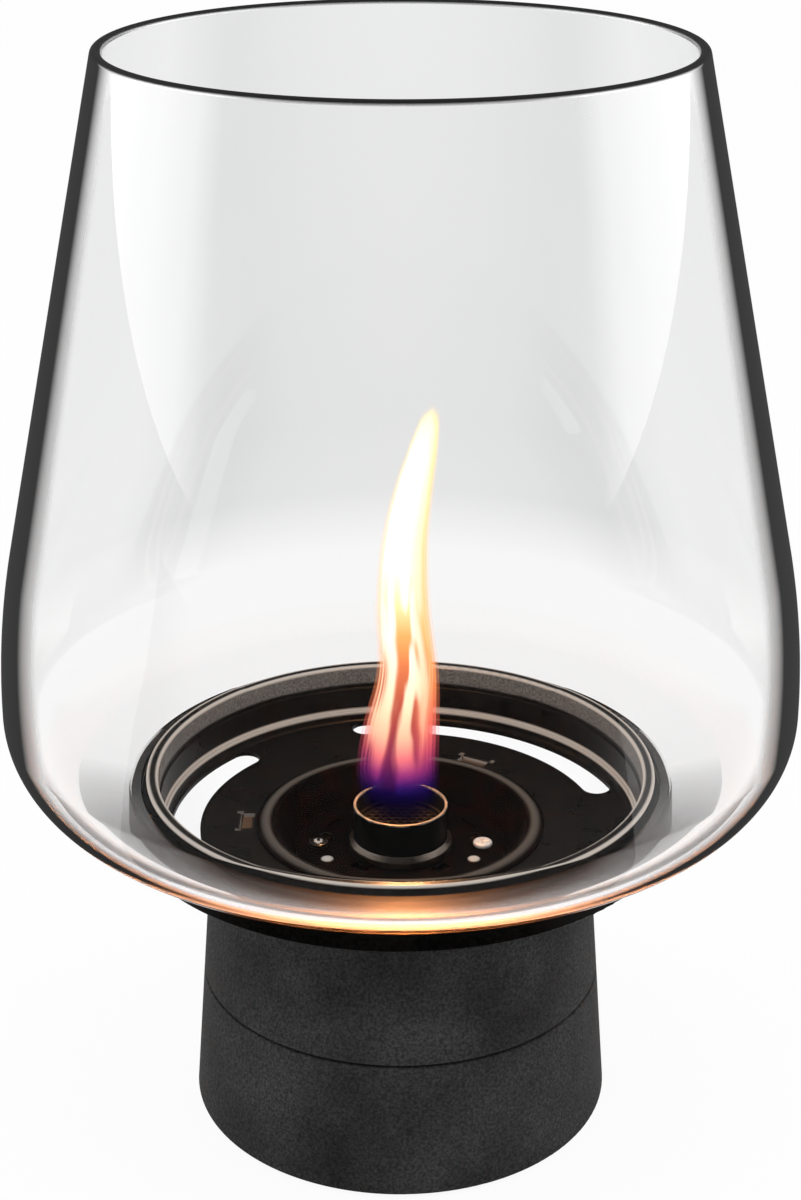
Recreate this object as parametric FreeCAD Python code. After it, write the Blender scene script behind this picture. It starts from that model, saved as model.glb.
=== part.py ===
"""Tabletop fireplace: a weighted two-part base, a slotted burner dish, a lift-out burner and a glass shade.

Millimetres, +Z up. The origin is the centre of the footprint on the table, and -Y faces the viewer.
"""
import FreeCAD, Part
import math
import os

# Base: two conical castings, stacked on a ring that leaves a shadow gap between them
base_wall = 4.1
base_flare = 6.5
base_height = 84.0
base_foot_lift = 0.8
base_edge_rounding = 1.0
seam_level = 40.8
seam_gap = 0.7
seam_depth = 1.6
seam_rounding = 0.4
register_width = 3.0
register_depth = 8.0
neck_top_thickness = 4.0

# Underside: pressed cover with a pocket for the tie screw, rubber ring and steel ballast
foot_ring_thickness = 2.0
foot_ring_width = 9.0
foot_ring_margin = 3.0
cover_sheet = 2.0
cover_overlap = 5.0
pocket_gap = 4.0
pocket_rise = 5.0
ballast_thickness = 8.0
ballast_gap = 8.0
tie_screw_radius = 3.0
tie_head_radius = 6.0
tie_head_height = 3.4
tie_washer_radius = 8.0
tie_washer_thickness = 1.2
tie_nut_across_flats = 12.0
tie_nut_height = 5.0
tie_draw = 1.0

# Well: drawn cup that holds the fuel canister and clamps the two castings together
well_sheet = 1.0
well_flange_width = 6.15
well_corner = 3.0
pad_margin = 6.85
pad_thickness = 1.5

# Burner dish: pressed sheet with a floor, a stepped wall and an outward lip
heat_gasket_thickness = 0.8
heat_gasket_margin = 0.8
dish_sheet = 1.2
dish_depth = 18.3
dish_lip_width = 3.4
dish_floor_rounding = 1.2
dish_step_rounding = 0.45
dish_lip_rounding = 0.9
lower_step_rise = 3.4
lower_step_width = 1.1
upper_step_width = 0.5
air_slot_count = 3
air_slot_gap = 3.3
air_slot_width = 8.4
air_slot_span = 88.0
air_slot_angle = 60.0

# Dish tabs: lanced out of the floor, bent down through the base and turned outward under it
tab_well_gap = 2.0
tab_bore_gap = 1.8
tab_lip_gap = 0.8
tab_width = 9.0
tab_reach = 2.2
tab_relief = 1.4
tab_bend_rounding = 0.8

# Glass seat: folded ring round the dish wall, with a gasket under the glass
seat_sheet = 1.2
seat_drop = 5.0
seat_margin = 0.4
seat_skirt_height = 9.9
seat_skirt_flare = 0.6
seat_leg_height = 2.3
seat_rounding = 0.7
glass_gasket_thickness = 0.8

# Glass shade: blown, with a straight upper cone, a full belly and a turned-under foot
glass_height = 206.0
glass_belly_overhang = 33.0
glass_shoulder_inset = 32.4
glass_bowl_lift = 3.0
glass_shoulder_arc = 215.9
glass_bowl_arc = 25.3
glass_hole_gap = 1.3
glass_foot_land = 3.7
glass_foot_rise = 2.1
glass_wall = 3.0
glass_edge_rounding = 0.6

# Burner cup: recessed dish that hangs in the hole of the burner dish by its domed lip
cup_sheet = 1.0
cup_hole_gap = 1.4
cup_lip_overlap = 2.6
cup_lip_edge = 0.6
cup_lip_dome = 1.5
cup_taper = 5.0
cup_depth = 9.0
cup_floor_margin = 7.5
cup_hole_margin = 3.2

# Burner head: plate, tube and collar on the floor of the cup
head_plate_thickness = 1.0
head_plate_gap = 1.2
head_screw_offset = 10.2
head_screw_radius = 1.5
head_screw_head_radius = 2.8
head_screw_head_height = 1.6
head_recess_width = 0.9
head_recess_length = 3.4
head_recess_depth = 0.8
head_nut_across_flats = 5.5
head_nut_height = 2.4
head_gasket_thickness = 0.8
pip_inset = 1.3
pip_size = 2.1
pip_height = 0.5
pip_angles = (-21.0, 14.5, 165.5, 201.0)
vent_offset = 3.7
vent_length = 5.0
vent_width = 2.6
vent_angles = (228.0, 312.0)
key_slot_offset = 0.4
key_slot_length = 7.0
key_slot_width = 1.4
key_slot_angles = (34.0, 146.0)
tube_radius = 13.5
tube_wall = 0.8
tube_rise = 13.7
tube_depth = 18.0
tube_rim_rounding = 0.3
collar_thickness = 1.3
collar_height = 3.6
collar_rounding = 0.6

# Inside the tube: fibre wick, wire gauze and the ring that holds it
gauze_drop = 6.5
gauze_thickness = 0.5
gauze_hole_radius = 0.85
gauze_pitch = 2.3
gauze_ring_height = 1.1
gauze_ring_wall = 0.8

# Fuel canister: drawn can with a seamed lid, filled with absorbing wool
canister_shoulder = 2.4
canister_sheet = 0.8
canister_corner = 3.0
lid_sheet = 1.0
lid_seam_height = 3.4
wool_headroom = 4.0

# Clearances shared by everything that fits together
press_fit = 0.05
screw_fit = 0.2
sheet_fit = 0.4
resting_gap = 0.3
canister_fit = 1.2
cut_margin = 5.0

# Radii that follow from the tube outward
tube_bore_radius = tube_radius - tube_wall
vent_place = tube_radius + vent_offset
head_screw_place = tube_radius + head_screw_offset
pip_place = head_screw_place - pip_inset
key_slot_place = head_screw_place + key_slot_offset
cup_hole_radius = head_screw_place - cup_hole_margin
cup_floor_radius = head_screw_place + cup_floor_margin
head_plate_radius = cup_floor_radius - head_plate_gap
cup_mouth_radius = cup_floor_radius + cup_taper
dish_hole_radius = cup_mouth_radius + cup_sheet + cup_hole_gap
cup_lip_radius = dish_hole_radius + cup_lip_overlap
canister_radius = cup_floor_radius + cup_sheet + canister_shoulder
lid_seam_radius = canister_radius + press_fit + lid_sheet
well_bore_radius = lid_seam_radius + canister_fit
well_outer_radius = well_bore_radius + well_sheet
well_flange_radius = well_outer_radius + well_flange_width
pad_radius = well_bore_radius - pad_margin
tab_inner_radius = cup_lip_radius + tab_lip_gap
tab_bend_radius = well_flange_radius + tab_well_gap
base_bore_radius = tab_bend_radius + tab_reach + tab_bore_gap
base_top_radius = base_bore_radius + base_wall
base_foot_radius = base_top_radius + base_flare
register_radius = base_bore_radius + register_width
cover_radius = base_bore_radius + cover_overlap
foot_ring_outer_radius = cover_radius - foot_ring_margin
pocket_radius = tie_washer_radius + pocket_gap
air_slot_inner_radius = base_top_radius + air_slot_gap
air_slot_outer_radius = air_slot_inner_radius + air_slot_width
dish_lower_radius = air_slot_outer_radius + dish_floor_rounding
dish_middle_radius = dish_lower_radius + lower_step_width
dish_wall_radius = dish_middle_radius + upper_step_width
dish_lip_radius = dish_wall_radius + dish_lip_width
glass_hole_radius = dish_lip_radius + glass_hole_gap
glass_foot_radius = glass_hole_radius + glass_foot_land
glass_belly_radius = glass_foot_radius + glass_belly_overhang
glass_rim_radius = glass_belly_radius - glass_shoulder_inset
seat_radius = glass_foot_radius + seat_margin

# Levels that follow from the stack
seam_low = seam_level - seam_gap / 2
seam_high = seam_level + seam_gap / 2
cover_level = foot_ring_thickness
cover_top = cover_level + cover_sheet
pocket_under = cover_level + pocket_rise
pocket_top = pocket_under + cover_sheet
well_under = pocket_top + tie_draw + tie_nut_height
well_floor = well_under + well_sheet
dish_under = base_height + heat_gasket_thickness
dish_floor = dish_under + dish_sheet
dish_top = dish_floor + dish_depth
seat_level = dish_top - seat_drop
lower_step = dish_floor + lower_step_rise
upper_step = seat_level - seat_leg_height
glass_foot_level = seat_level + glass_gasket_thickness
cup_floor_under = dish_floor - cup_depth - head_plate_thickness
cup_floor = cup_floor_under + cup_sheet
head_top = cup_floor + head_plate_thickness
lid_top = cup_floor_under - head_gasket_thickness
lid_under = lid_top - lid_sheet
canister_under = well_floor + pad_thickness + resting_gap
canister_floor = canister_under + canister_sheet
tube_top = head_top + tube_rise
tube_bottom = lid_under - tube_depth
gauze_top = tube_top - gauze_drop

ORIGIN = FreeCAD.Vector(0, 0, 0)
UP = FreeCAD.Vector(0, 0, 1)


def base_radius(level):
    """Outer radius of the conical base at a level above the table."""
    return base_foot_radius + (base_top_radius - base_foot_radius) * level / base_height


def polar(radius, degrees):
    """Point of the radius-height plane at an angle from the radius axis."""
    angle = math.radians(degrees)
    return FreeCAD.Vector(radius * math.cos(angle), 0, radius * math.sin(angle))


def at_angle(shape, degrees):
    """Copy of a shape, turned about the vertical axis."""
    copy = shape.copy()
    copy.rotate(ORIGIN, UP, degrees)
    return copy


def outline(corners):
    """Closed face in the radius-height plane. A corner is radius, level and, if rounded, its rounding."""
    places = [FreeCAD.Vector(corner[0], 0, corner[1]) for corner in corners]
    bends = []
    for index, corner in enumerate(corners):
        here = places[index]
        rounding = corner[2] if len(corner) == 3 else 0
        if rounding == 0:
            bends.append((here, None, here))
            continue
        before = (places[index - 1] - here).normalize()
        after = (places[(index + 1) % len(places)] - here).normalize()
        half_angle = before.getAngle(after) / 2
        reach = rounding / math.tan(half_angle)
        inward = (before + after).normalize()
        middle = here + inward * (rounding / math.sin(half_angle) - rounding)
        bends.append((here + before * reach, middle, here + after * reach))
    edges = []
    for index, (start, middle, finish) in enumerate(bends):
        if middle is not None:
            edges.append(Part.Arc(start, middle, finish).toShape())
        following = bends[(index + 1) % len(bends)][0]
        if finish.distanceToPoint(following) > Part.Precision.confusion():
            edges.append(Part.LineSegment(finish, following).toShape())
    return Part.Face(Part.Wire(edges))


def turned(*corners):
    """Solid of revolution about the vertical axis."""
    return outline(corners).revolve(ORIGIN, UP, 360)


def ring(inner_radius, outer_radius, low, high, rounding=0):
    """Flat ring, or a disc where the inner radius is zero."""
    return turned(
        (inner_radius, low),
        (outer_radius, low, rounding),
        (outer_radius, high, rounding),
        (inner_radius, high),
    )


def block(inner_radius, outer_radius, width, low, high):
    """Box that reaches outward along +X, centred on the radius."""
    corner = FreeCAD.Vector(inner_radius, -width / 2, low)
    return Part.makeBox(outer_radius - inner_radius, width, high - low, corner)


def hexagon(across_flats, low, high):
    """Upright hexagonal prism on the vertical axis."""
    corner_radius = across_flats / math.sqrt(3)
    corners = [FreeCAD.Vector(corner_radius, 0, low)]
    for side in range(1, 6):
        corners.append(at_angle(Part.Vertex(corners[0]), 60 * side).Point)
    face = Part.Face(Part.makePolygon(corners + corners[:1]))
    return face.extrude(UP * (high - low))


def without(shape, cutters):
    """Shape with every cutter taken out."""
    return shape.cut(list(cutters))


def save(node, *solids):
    """Write one node, as one solid or as a group of like solids."""
    shape = solids[0] if len(solids) == 1 else Part.makeCompound(list(solids))
    shape.exportStep(f"parts/{node}.step")


def tab_angles():
    """Angles of the dish's tabs, each in line with the middle of an air slot."""
    return [air_slot_angle + index * 360 / air_slot_count for index in range(air_slot_count)]


def tab_passages(low, high, clearance):
    """Cutters that let the bent tabs down through the pieces under the dish."""
    inner_radius = tab_bend_radius - clearance
    outer_radius = tab_bend_radius + dish_sheet + clearance
    passage = block(inner_radius, outer_radius, tab_width + 2 * clearance, low, high)
    return [at_angle(passage, angle) for angle in tab_angles()]


def base_foot():
    """Lower casting, open underneath for the cover and stepped on top for the seam ring."""
    rabbet_radius = cover_radius + screw_fit
    register_floor = seam_low - register_depth
    return turned(
        (base_radius(base_foot_lift), base_foot_lift, base_edge_rounding),
        (base_radius(seam_low), seam_low, seam_rounding),
        (register_radius, seam_low),
        (register_radius, register_floor),
        (base_bore_radius, register_floor),
        (base_bore_radius, cover_top),
        (rabbet_radius, cover_top),
        (rabbet_radius, base_foot_lift),
    )


def base_neck():
    """Upper casting, with a top that carries the well, the gasket and the dish."""
    hole_radius = well_outer_radius + sheet_fit
    recess_radius = well_flange_radius + sheet_fit
    recess_floor = base_height - well_sheet
    top_under = base_height - neck_top_thickness
    register_roof = seam_high + register_depth
    body = turned(
        (base_radius(seam_high), seam_high, seam_rounding),
        (base_radius(base_height), base_height, base_edge_rounding),
        (recess_radius, base_height),
        (recess_radius, recess_floor),
        (hole_radius, recess_floor),
        (hole_radius, top_under),
        (base_bore_radius, top_under),
        (base_bore_radius, register_roof),
        (register_radius, register_roof),
        (register_radius, seam_high),
    )
    return without(body, tab_passages(top_under - cut_margin, base_height + cut_margin, sheet_fit))


def seam_ring():
    """Ring that centres the castings on each other. Its rib holds the shadow gap open."""
    spigot_radius = register_radius - press_fit
    rib_radius = base_radius(seam_level) - seam_depth
    low = seam_low - register_depth + resting_gap
    high = seam_high + register_depth - resting_gap
    return turned(
        (base_bore_radius, low),
        (spigot_radius, low),
        (spigot_radius, seam_low),
        (rib_radius, seam_low),
        (rib_radius, seam_high),
        (spigot_radius, seam_high),
        (spigot_radius, high),
        (base_bore_radius, high),
    )


def bottom_cover():
    """Pressed plate that closes the base, with a raised pocket for the tie screw's head."""
    hole_radius = tie_screw_radius + screw_fit
    return turned(
        (hole_radius, pocket_under),
        (pocket_radius, pocket_under, cover_sheet / 2),
        (pocket_radius, cover_level, cover_sheet / 2),
        (cover_radius, cover_level),
        (cover_radius, cover_top),
        (pocket_radius + cover_sheet, cover_top, cover_sheet / 2),
        (pocket_radius + cover_sheet, pocket_top, cover_sheet / 2),
        (hole_radius, pocket_top),
    )


def foot_ring():
    """Rubber ring that the fireplace stands on."""
    inner_radius = foot_ring_outer_radius - foot_ring_width
    return ring(inner_radius, foot_ring_outer_radius, 0, cover_level)


def ballast_ring():
    """Steel ring that lies on the cover and keeps the tall glass steady."""
    inner_radius = pocket_radius + cover_sheet + ballast_gap
    outer_radius = base_bore_radius - canister_fit
    return ring(inner_radius, outer_radius, cover_top, cover_top + ballast_thickness)


def tie_screw():
    """Screw from below that draws the well down onto the castings."""
    head_low = pocket_under - tie_washer_thickness - tie_head_height
    head_high = head_low + tie_head_height
    tip = well_under - resting_gap
    head = ring(0, tie_head_radius, head_low, head_high, tie_head_height / 4)
    shank = ring(0, tie_screw_radius, head_high, tip)
    socket = hexagon(tie_head_radius, head_low - cut_margin, head_low + tie_head_height / 2)
    return head.fuse(shank).cut(socket)


def tie_washer():
    """Washer under the head of the tie screw."""
    inner_radius = tie_screw_radius + screw_fit
    return ring(inner_radius, tie_washer_radius, pocket_under - tie_washer_thickness, pocket_under)


def well_nut():
    """Nut welded under the floor of the well."""
    low = well_under - tie_nut_height
    bore = ring(0, tie_screw_radius + press_fit, low - cut_margin, well_under + cut_margin)
    return hexagon(tie_nut_across_flats, low, well_under).cut(bore)


def canister_well():
    """Drawn cup that hangs in the neck by its flange."""
    flange_under = base_height - well_sheet
    return turned(
        (0, well_under),
        (well_outer_radius, well_under, well_corner),
        (well_outer_radius, flange_under),
        (well_flange_radius, flange_under),
        (well_flange_radius, base_height),
        (well_bore_radius, base_height, well_sheet / 2),
        (well_bore_radius, well_floor, well_corner - well_sheet),
        (0, well_floor),
    )


def well_pad():
    """Felt disc under the canister."""
    return ring(0, pad_radius, well_floor, well_floor + pad_thickness)


def heat_gasket():
    """Fibre ring that keeps the heat of the dish out of the base."""
    outer_radius = base_top_radius - base_edge_rounding - heat_gasket_margin
    gasket = ring(well_outer_radius + sheet_fit, outer_radius, base_height, dish_under)
    return without(gasket, tab_passages(base_height - cut_margin, dish_under + cut_margin, sheet_fit))


def dish_shell():
    """Floor, stepped wall and lip of the burner dish, before its openings."""
    hem = dish_sheet * 0.45
    return turned(
        (dish_hole_radius, dish_floor),
        (dish_lower_radius, dish_floor, dish_floor_rounding),
        (dish_lower_radius, lower_step, dish_step_rounding),
        (dish_middle_radius, lower_step, dish_step_rounding),
        (dish_middle_radius, upper_step, upper_step_width / 3),
        (dish_wall_radius, upper_step, upper_step_width / 3),
        (dish_wall_radius, dish_top, dish_lip_rounding),
        (dish_lip_radius, dish_top, hem),
        (dish_lip_radius, dish_top - dish_sheet, hem),
        (dish_wall_radius + dish_sheet, dish_top - dish_sheet),
        (dish_wall_radius + dish_sheet, upper_step - dish_sheet, upper_step_width / 3),
        (dish_middle_radius + dish_sheet, upper_step - dish_sheet, upper_step_width / 3),
        (dish_middle_radius + dish_sheet, lower_step - dish_sheet, dish_step_rounding),
        (dish_lower_radius + dish_sheet, lower_step - dish_sheet, dish_step_rounding),
        (dish_lower_radius + dish_sheet, dish_under, dish_floor_rounding),
        (dish_hole_radius, dish_under),
    )


def air_slot():
    """Cutter for one kidney slot, centred on +X."""
    low = dish_under - cut_margin
    rise = UP * (dish_sheet + 2 * cut_margin)
    middle_radius = air_slot_inner_radius + air_slot_width / 2
    half_span = air_slot_span / 2 - math.degrees(air_slot_width / 2 / middle_radius)
    edges = []
    for radius in (air_slot_inner_radius, air_slot_outer_radius):
        circle = Part.Circle(FreeCAD.Vector(0, 0, low), UP, radius)
        edges.append(circle.toShape(math.radians(-half_span), math.radians(half_span)))
    for side in (-1, 1):
        across = at_angle(Part.Vertex(middle_radius, 0, low), side * half_span).Point
        tip_angle = side * (half_span + 90)
        tip = across + at_angle(Part.Vertex(air_slot_width / 2, 0, 0), tip_angle).Point
        inner = at_angle(Part.Vertex(air_slot_inner_radius, 0, low), side * half_span).Point
        outer = at_angle(Part.Vertex(air_slot_outer_radius, 0, low), side * half_span).Point
        edges.append(Part.Arc(inner, tip, outer).toShape())
    return Part.Face(Part.Wire(Part.__sortEdges__(edges))).extrude(rise)


def dish_tab():
    """One tab along +X, bent down from the floor and turned outward under the neck's top."""
    outer_radius = tab_bend_radius + dish_sheet
    foot_top = base_height - neck_top_thickness - press_fit
    foot_under = foot_top - dish_sheet
    face = outline(
        (
            (tab_bend_radius, dish_floor, tab_bend_rounding),
            (outer_radius, dish_floor),
            (outer_radius, foot_top),
            (tab_bend_radius + tab_reach, foot_top),
            (tab_bend_radius + tab_reach, foot_under),
            (tab_bend_radius, foot_under, tab_bend_rounding),
        )
    )
    face.translate(FreeCAD.Vector(0, -tab_width / 2, 0))
    return face.extrude(FreeCAD.Vector(0, tab_width, 0))


def tab_window():
    """Cutters for the window that one tab leaves in the floor, with its corner reliefs."""
    low = dish_under - cut_margin
    high = dish_floor + cut_margin
    outer_radius = tab_bend_radius + dish_sheet
    window = block(tab_inner_radius, outer_radius, tab_width, low, high)
    relief_width = tab_width + 2 * tab_relief
    relief = block(tab_bend_radius - tab_relief / 2, outer_radius, relief_width, low, high)
    return [window, relief]


def burner_dish():
    """Dish with its air slots, and its tabs bent out of their windows."""
    cutters = [at_angle(air_slot(), angle) for angle in tab_angles()]
    for angle in tab_angles():
        cutters += [at_angle(cutter, angle) for cutter in tab_window()]
    shell = without(dish_shell(), cutters)
    tabs = [at_angle(dish_tab(), angle) for angle in tab_angles()]
    return shell.fuse(tabs).removeSplitter()


def seat_ring():
    """Folded ring welded round the dish wall: a ledge for the glass, a skirt and a short inner leg."""
    inner_radius = dish_wall_radius + dish_sheet + press_fit
    leg_radius = inner_radius + seat_sheet
    skirt_low = seat_level - seat_skirt_height
    skirt_radius = seat_radius + seat_skirt_flare
    ledge_under = seat_level - seat_sheet
    return turned(
        (inner_radius, upper_step),
        (leg_radius, upper_step),
        (leg_radius, ledge_under),
        (seat_radius - seat_sheet, ledge_under),
        (skirt_radius - seat_sheet, skirt_low),
        (skirt_radius, skirt_low, seat_sheet / 3),
        (seat_radius, seat_level, seat_rounding),
        (inner_radius, seat_level),
    )


def glass_gasket():
    """Clear ring between the ledge and the ground foot of the glass."""
    return ring(glass_hole_radius, glass_foot_radius - seat_rounding, seat_level, glass_foot_level)


def tangent_angle(centre, radius, place, side):
    """Angle on a circle where a line from a place outside touches it, on one side or the other."""
    away = place - centre
    return math.degrees(math.atan2(away.z, away.x) + side * math.acos(radius / away.Length))


def glass_shade():
    """Blown wall of even thickness, with a fire-polished rim and a ground foot."""
    belly_level = glass_foot_level + glass_bowl_arc + glass_bowl_lift
    rim_centre_level = glass_foot_level + glass_height - glass_wall / 2
    bowl_centre = FreeCAD.Vector(glass_belly_radius - glass_bowl_arc, 0, belly_level)
    shoulder_centre = FreeCAD.Vector(glass_belly_radius - glass_shoulder_arc, 0, belly_level)
    foot = FreeCAD.Vector(glass_foot_radius, 0, glass_foot_level)
    hole_low = FreeCAD.Vector(glass_hole_radius, 0, glass_foot_level)
    hole_top = hole_low + UP * glass_foot_rise
    rim = FreeCAD.Vector(glass_rim_radius, 0, rim_centre_level)
    inner_bowl = glass_bowl_arc - glass_wall
    inner_shoulder = glass_shoulder_arc - glass_wall
    bowl_angle = tangent_angle(bowl_centre, glass_bowl_arc, foot, 1)
    inner_bowl_angle = tangent_angle(bowl_centre, inner_bowl, hole_top, 1)
    cone_angle = tangent_angle(shoulder_centre, glass_shoulder_arc, rim, -1)
    inset = polar(glass_wall, cone_angle)
    rim_inside = rim - inset
    rim_crown = rim - inset * 0.5 + polar(glass_wall / 2, cone_angle + 90)

    def arc(centre, radius, start, finish):
        angles = (start, (start + finish) / 2, finish)
        return Part.Arc(*[centre + polar(radius, angle) for angle in angles])

    def line(start, finish):
        return Part.LineSegment(start, finish)

    bowl_start = bowl_centre + polar(glass_bowl_arc, bowl_angle)
    inner_start = bowl_centre + polar(inner_bowl, inner_bowl_angle)
    cone_start = shoulder_centre + polar(glass_shoulder_arc, cone_angle)
    inner_cone_start = shoulder_centre + polar(inner_shoulder, cone_angle)
    pieces = [
        line(hole_low, foot),
        line(foot, bowl_start),
        arc(bowl_centre, glass_bowl_arc, bowl_angle, 0),
        arc(shoulder_centre, glass_shoulder_arc, 0, cone_angle),
        line(cone_start, rim),
        Part.Arc(rim, rim_crown, rim_inside),
        line(rim_inside, inner_cone_start),
        arc(shoulder_centre, inner_shoulder, cone_angle, 0),
        arc(bowl_centre, inner_bowl, 0, inner_bowl_angle),
        line(inner_start, hole_top),
        line(hole_top, hole_low),
    ]
    wire = Part.Wire([piece.toShape() for piece in pieces])
    body = Part.Face(wire).revolve(ORIGIN, UP, 360)
    foot_edges = [edge for edge in body.Edges if is_glass_foot_edge(edge)]
    return body.makeFillet(min(glass_edge_rounding, glass_wall / 4), foot_edges)


def is_glass_foot_edge(edge):
    """True for the round edges of the ground foot and of the hole in it."""
    if not isinstance(edge.Curve, Part.Circle):
        return False
    slack = Part.Precision.confusion()
    low_enough = edge.Curve.Center.z < glass_foot_level + glass_foot_rise + slack
    return low_enough and edge.Curve.Radius < glass_foot_radius + slack


def head_screw_places(shape):
    """Copies of a shape at the two head screws, left and right of the tube."""
    copy = shape.copy()
    copy.translate(FreeCAD.Vector(head_screw_place, 0, 0))
    return [at_angle(copy, angle) for angle in (0, 180)]


def head_screw_holes():
    """Cutters for the two screws through everything under the burner head."""
    low = lid_under - cut_margin
    return head_screw_places(ring(0, head_screw_radius + screw_fit, low, head_top + cut_margin))


def burner_cup():
    """Recess with a conical wall, a floor ring and a domed lip that rests on the dish floor."""
    throat_radius = cup_mouth_radius + cup_sheet
    lip_edge = dish_floor + cup_lip_edge
    crown_radius = (cup_mouth_radius + cup_lip_radius) / 2
    crown = dish_floor + cup_lip_dome
    body = turned(
        (cup_hole_radius, cup_floor_under),
        (cup_floor_radius + cup_sheet, cup_floor_under, cup_sheet),
        (throat_radius, dish_floor),
        (cup_lip_radius, dish_floor),
        (cup_lip_radius, lip_edge),
        (crown_radius, crown, cup_lip_dome),
        (cup_mouth_radius, crown - cup_sheet / 2, cup_sheet / 2),
        (cup_floor_radius, cup_floor, cup_sheet / 2),
        (cup_hole_radius, cup_floor),
    )
    return without(body, head_screw_holes())


def head_plate():
    """Round plate on the cup floor, with vents, key slots and pressed pips round the tube."""
    hole_radius = tube_radius + press_fit
    plate = ring(hole_radius, head_plate_radius, cup_floor, head_top)
    low = cup_floor - cut_margin
    high = head_top + cut_margin
    cutters = head_screw_holes()
    vent = block(vent_place - vent_width / 2, vent_place + vent_width / 2, vent_length, low, high)
    cutters += [at_angle(vent, angle) for angle in vent_angles]
    key_inner = key_slot_place - key_slot_width / 2
    key_slot = block(key_inner, key_inner + key_slot_width, key_slot_length, low, high)
    cutters += [at_angle(key_slot, angle) for angle in key_slot_angles]
    pip = Part.makeCone(pip_size, pip_size / 2, pip_height, FreeCAD.Vector(pip_place, 0, head_top))
    pips = [at_angle(pip, angle) for angle in pip_angles]
    return without(plate, cutters).fuse(pips)


def head_gasket():
    """Seal between the lid of the canister and the floor of the cup."""
    gasket = ring(cup_hole_radius, cup_floor_radius, lid_top, cup_floor_under)
    return without(gasket, head_screw_holes())


def head_screws():
    """Two cross-slotted screws that hold the burner head, the cup and the lid together."""
    head_high = head_top + head_screw_head_height
    tip = lid_under - head_nut_height - resting_gap
    head = ring(0, head_screw_head_radius, head_top, head_high, head_screw_head_height / 2)
    shank = ring(0, head_screw_radius, tip, head_top)
    recess_low = head_high - head_recess_depth
    half_length = head_recess_length / 2
    slot = block(-half_length, half_length, head_recess_width, recess_low, head_high + cut_margin)
    return head_screw_places(head.fuse(shank).cut([slot, at_angle(slot, 90)]))


def screw_nuts():
    """Two nuts under the lid."""
    low = lid_under - head_nut_height
    bore = ring(0, head_screw_radius + press_fit, low - cut_margin, lid_under + cut_margin)
    return head_screw_places(hexagon(head_nut_across_flats, low, lid_under).cut(bore))


def burner_tube():
    """Thin tube that carries the wick from the canister to the flame."""
    return turned(
        (tube_bore_radius, tube_bottom),
        (tube_radius, tube_bottom),
        (tube_radius, tube_top, tube_rim_rounding),
        (tube_bore_radius, tube_top, tube_rim_rounding),
    )


def tube_collar():
    """Flared collar round the foot of the tube."""
    inner_radius = tube_radius + press_fit
    outer_radius = inner_radius + collar_thickness
    return turned(
        (inner_radius, head_top),
        (outer_radius, head_top, collar_rounding),
        (outer_radius, head_top + collar_height - collar_thickness, collar_rounding),
        (inner_radius, head_top + collar_height),
    )


def flame_gauze():
    """Perforated disc that keeps the flame on top of the wick."""
    gauze_radius = tube_bore_radius - press_fit
    low = gauze_top - gauze_thickness
    disc = ring(0, gauze_radius, low, gauze_top)
    reach = gauze_radius - gauze_ring_wall - gauze_hole_radius
    row_pitch = gauze_pitch * math.sqrt(3) / 2
    rows = int(reach / row_pitch)
    holes = []
    for row in range(-rows, rows + 1):
        shift = gauze_pitch / 2 if row % 2 else 0
        columns = int(reach / gauze_pitch) + 1
        for column in range(-columns, columns + 1):
            place = FreeCAD.Vector(column * gauze_pitch + shift, row * row_pitch, low - cut_margin)
            if math.hypot(place.x, place.y) < reach:
                holes.append(Part.makeCylinder(gauze_hole_radius, 2 * cut_margin, place))
    return without(disc, holes)


def gauze_ring():
    """Spring ring that holds the gauze down in the tube."""
    outer_radius = tube_bore_radius - press_fit
    inner_radius = outer_radius - gauze_ring_wall
    return ring(inner_radius, outer_radius, gauze_top, gauze_top + gauze_ring_height)


def wick_core():
    """Round fibre wick that stands on the canister floor and fills the tube up to the gauze."""
    top = gauze_top - gauze_thickness
    return ring(0, tube_bore_radius - screw_fit, canister_floor, top)


def canister_shell():
    """Drawn can."""
    inner_radius = canister_radius - canister_sheet
    return turned(
        (0, canister_under),
        (canister_radius, canister_under, canister_corner),
        (canister_radius, lid_top),
        (inner_radius, lid_top),
        (inner_radius, canister_floor, canister_corner - canister_sheet),
        (0, canister_floor),
    )


def canister_lid():
    """Pressed lid, folded over the rim of the can."""
    plug_radius = canister_radius - canister_sheet - press_fit
    seam_inner_radius = canister_radius + press_fit
    rim_top = lid_top + lid_sheet
    hole_radius = tube_radius + press_fit
    lid = turned(
        (hole_radius, lid_under),
        (plug_radius, lid_under),
        (plug_radius, lid_top),
        (seam_inner_radius, lid_top),
        (seam_inner_radius, rim_top - lid_seam_height),
        (lid_seam_radius, rim_top - lid_seam_height),
        (lid_seam_radius, rim_top, lid_sheet / 2),
        (plug_radius - lid_sheet, rim_top, lid_sheet / 4),
        (plug_radius - lid_sheet, lid_top),
        (hole_radius, lid_top),
    )
    return without(lid, head_screw_holes())


def fuel_wool():
    """Absorbing wool round the wick, which holds the fuel if the burner tips over."""
    inner_radius = tube_radius + screw_fit
    outer_radius = canister_radius - canister_sheet - screw_fit
    top = lid_under - head_nut_height - wool_headroom
    return turned(
        (inner_radius, canister_floor),
        (outer_radius, canister_floor, canister_corner),
        (outer_radius, top),
        (inner_radius, top),
    )


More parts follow.
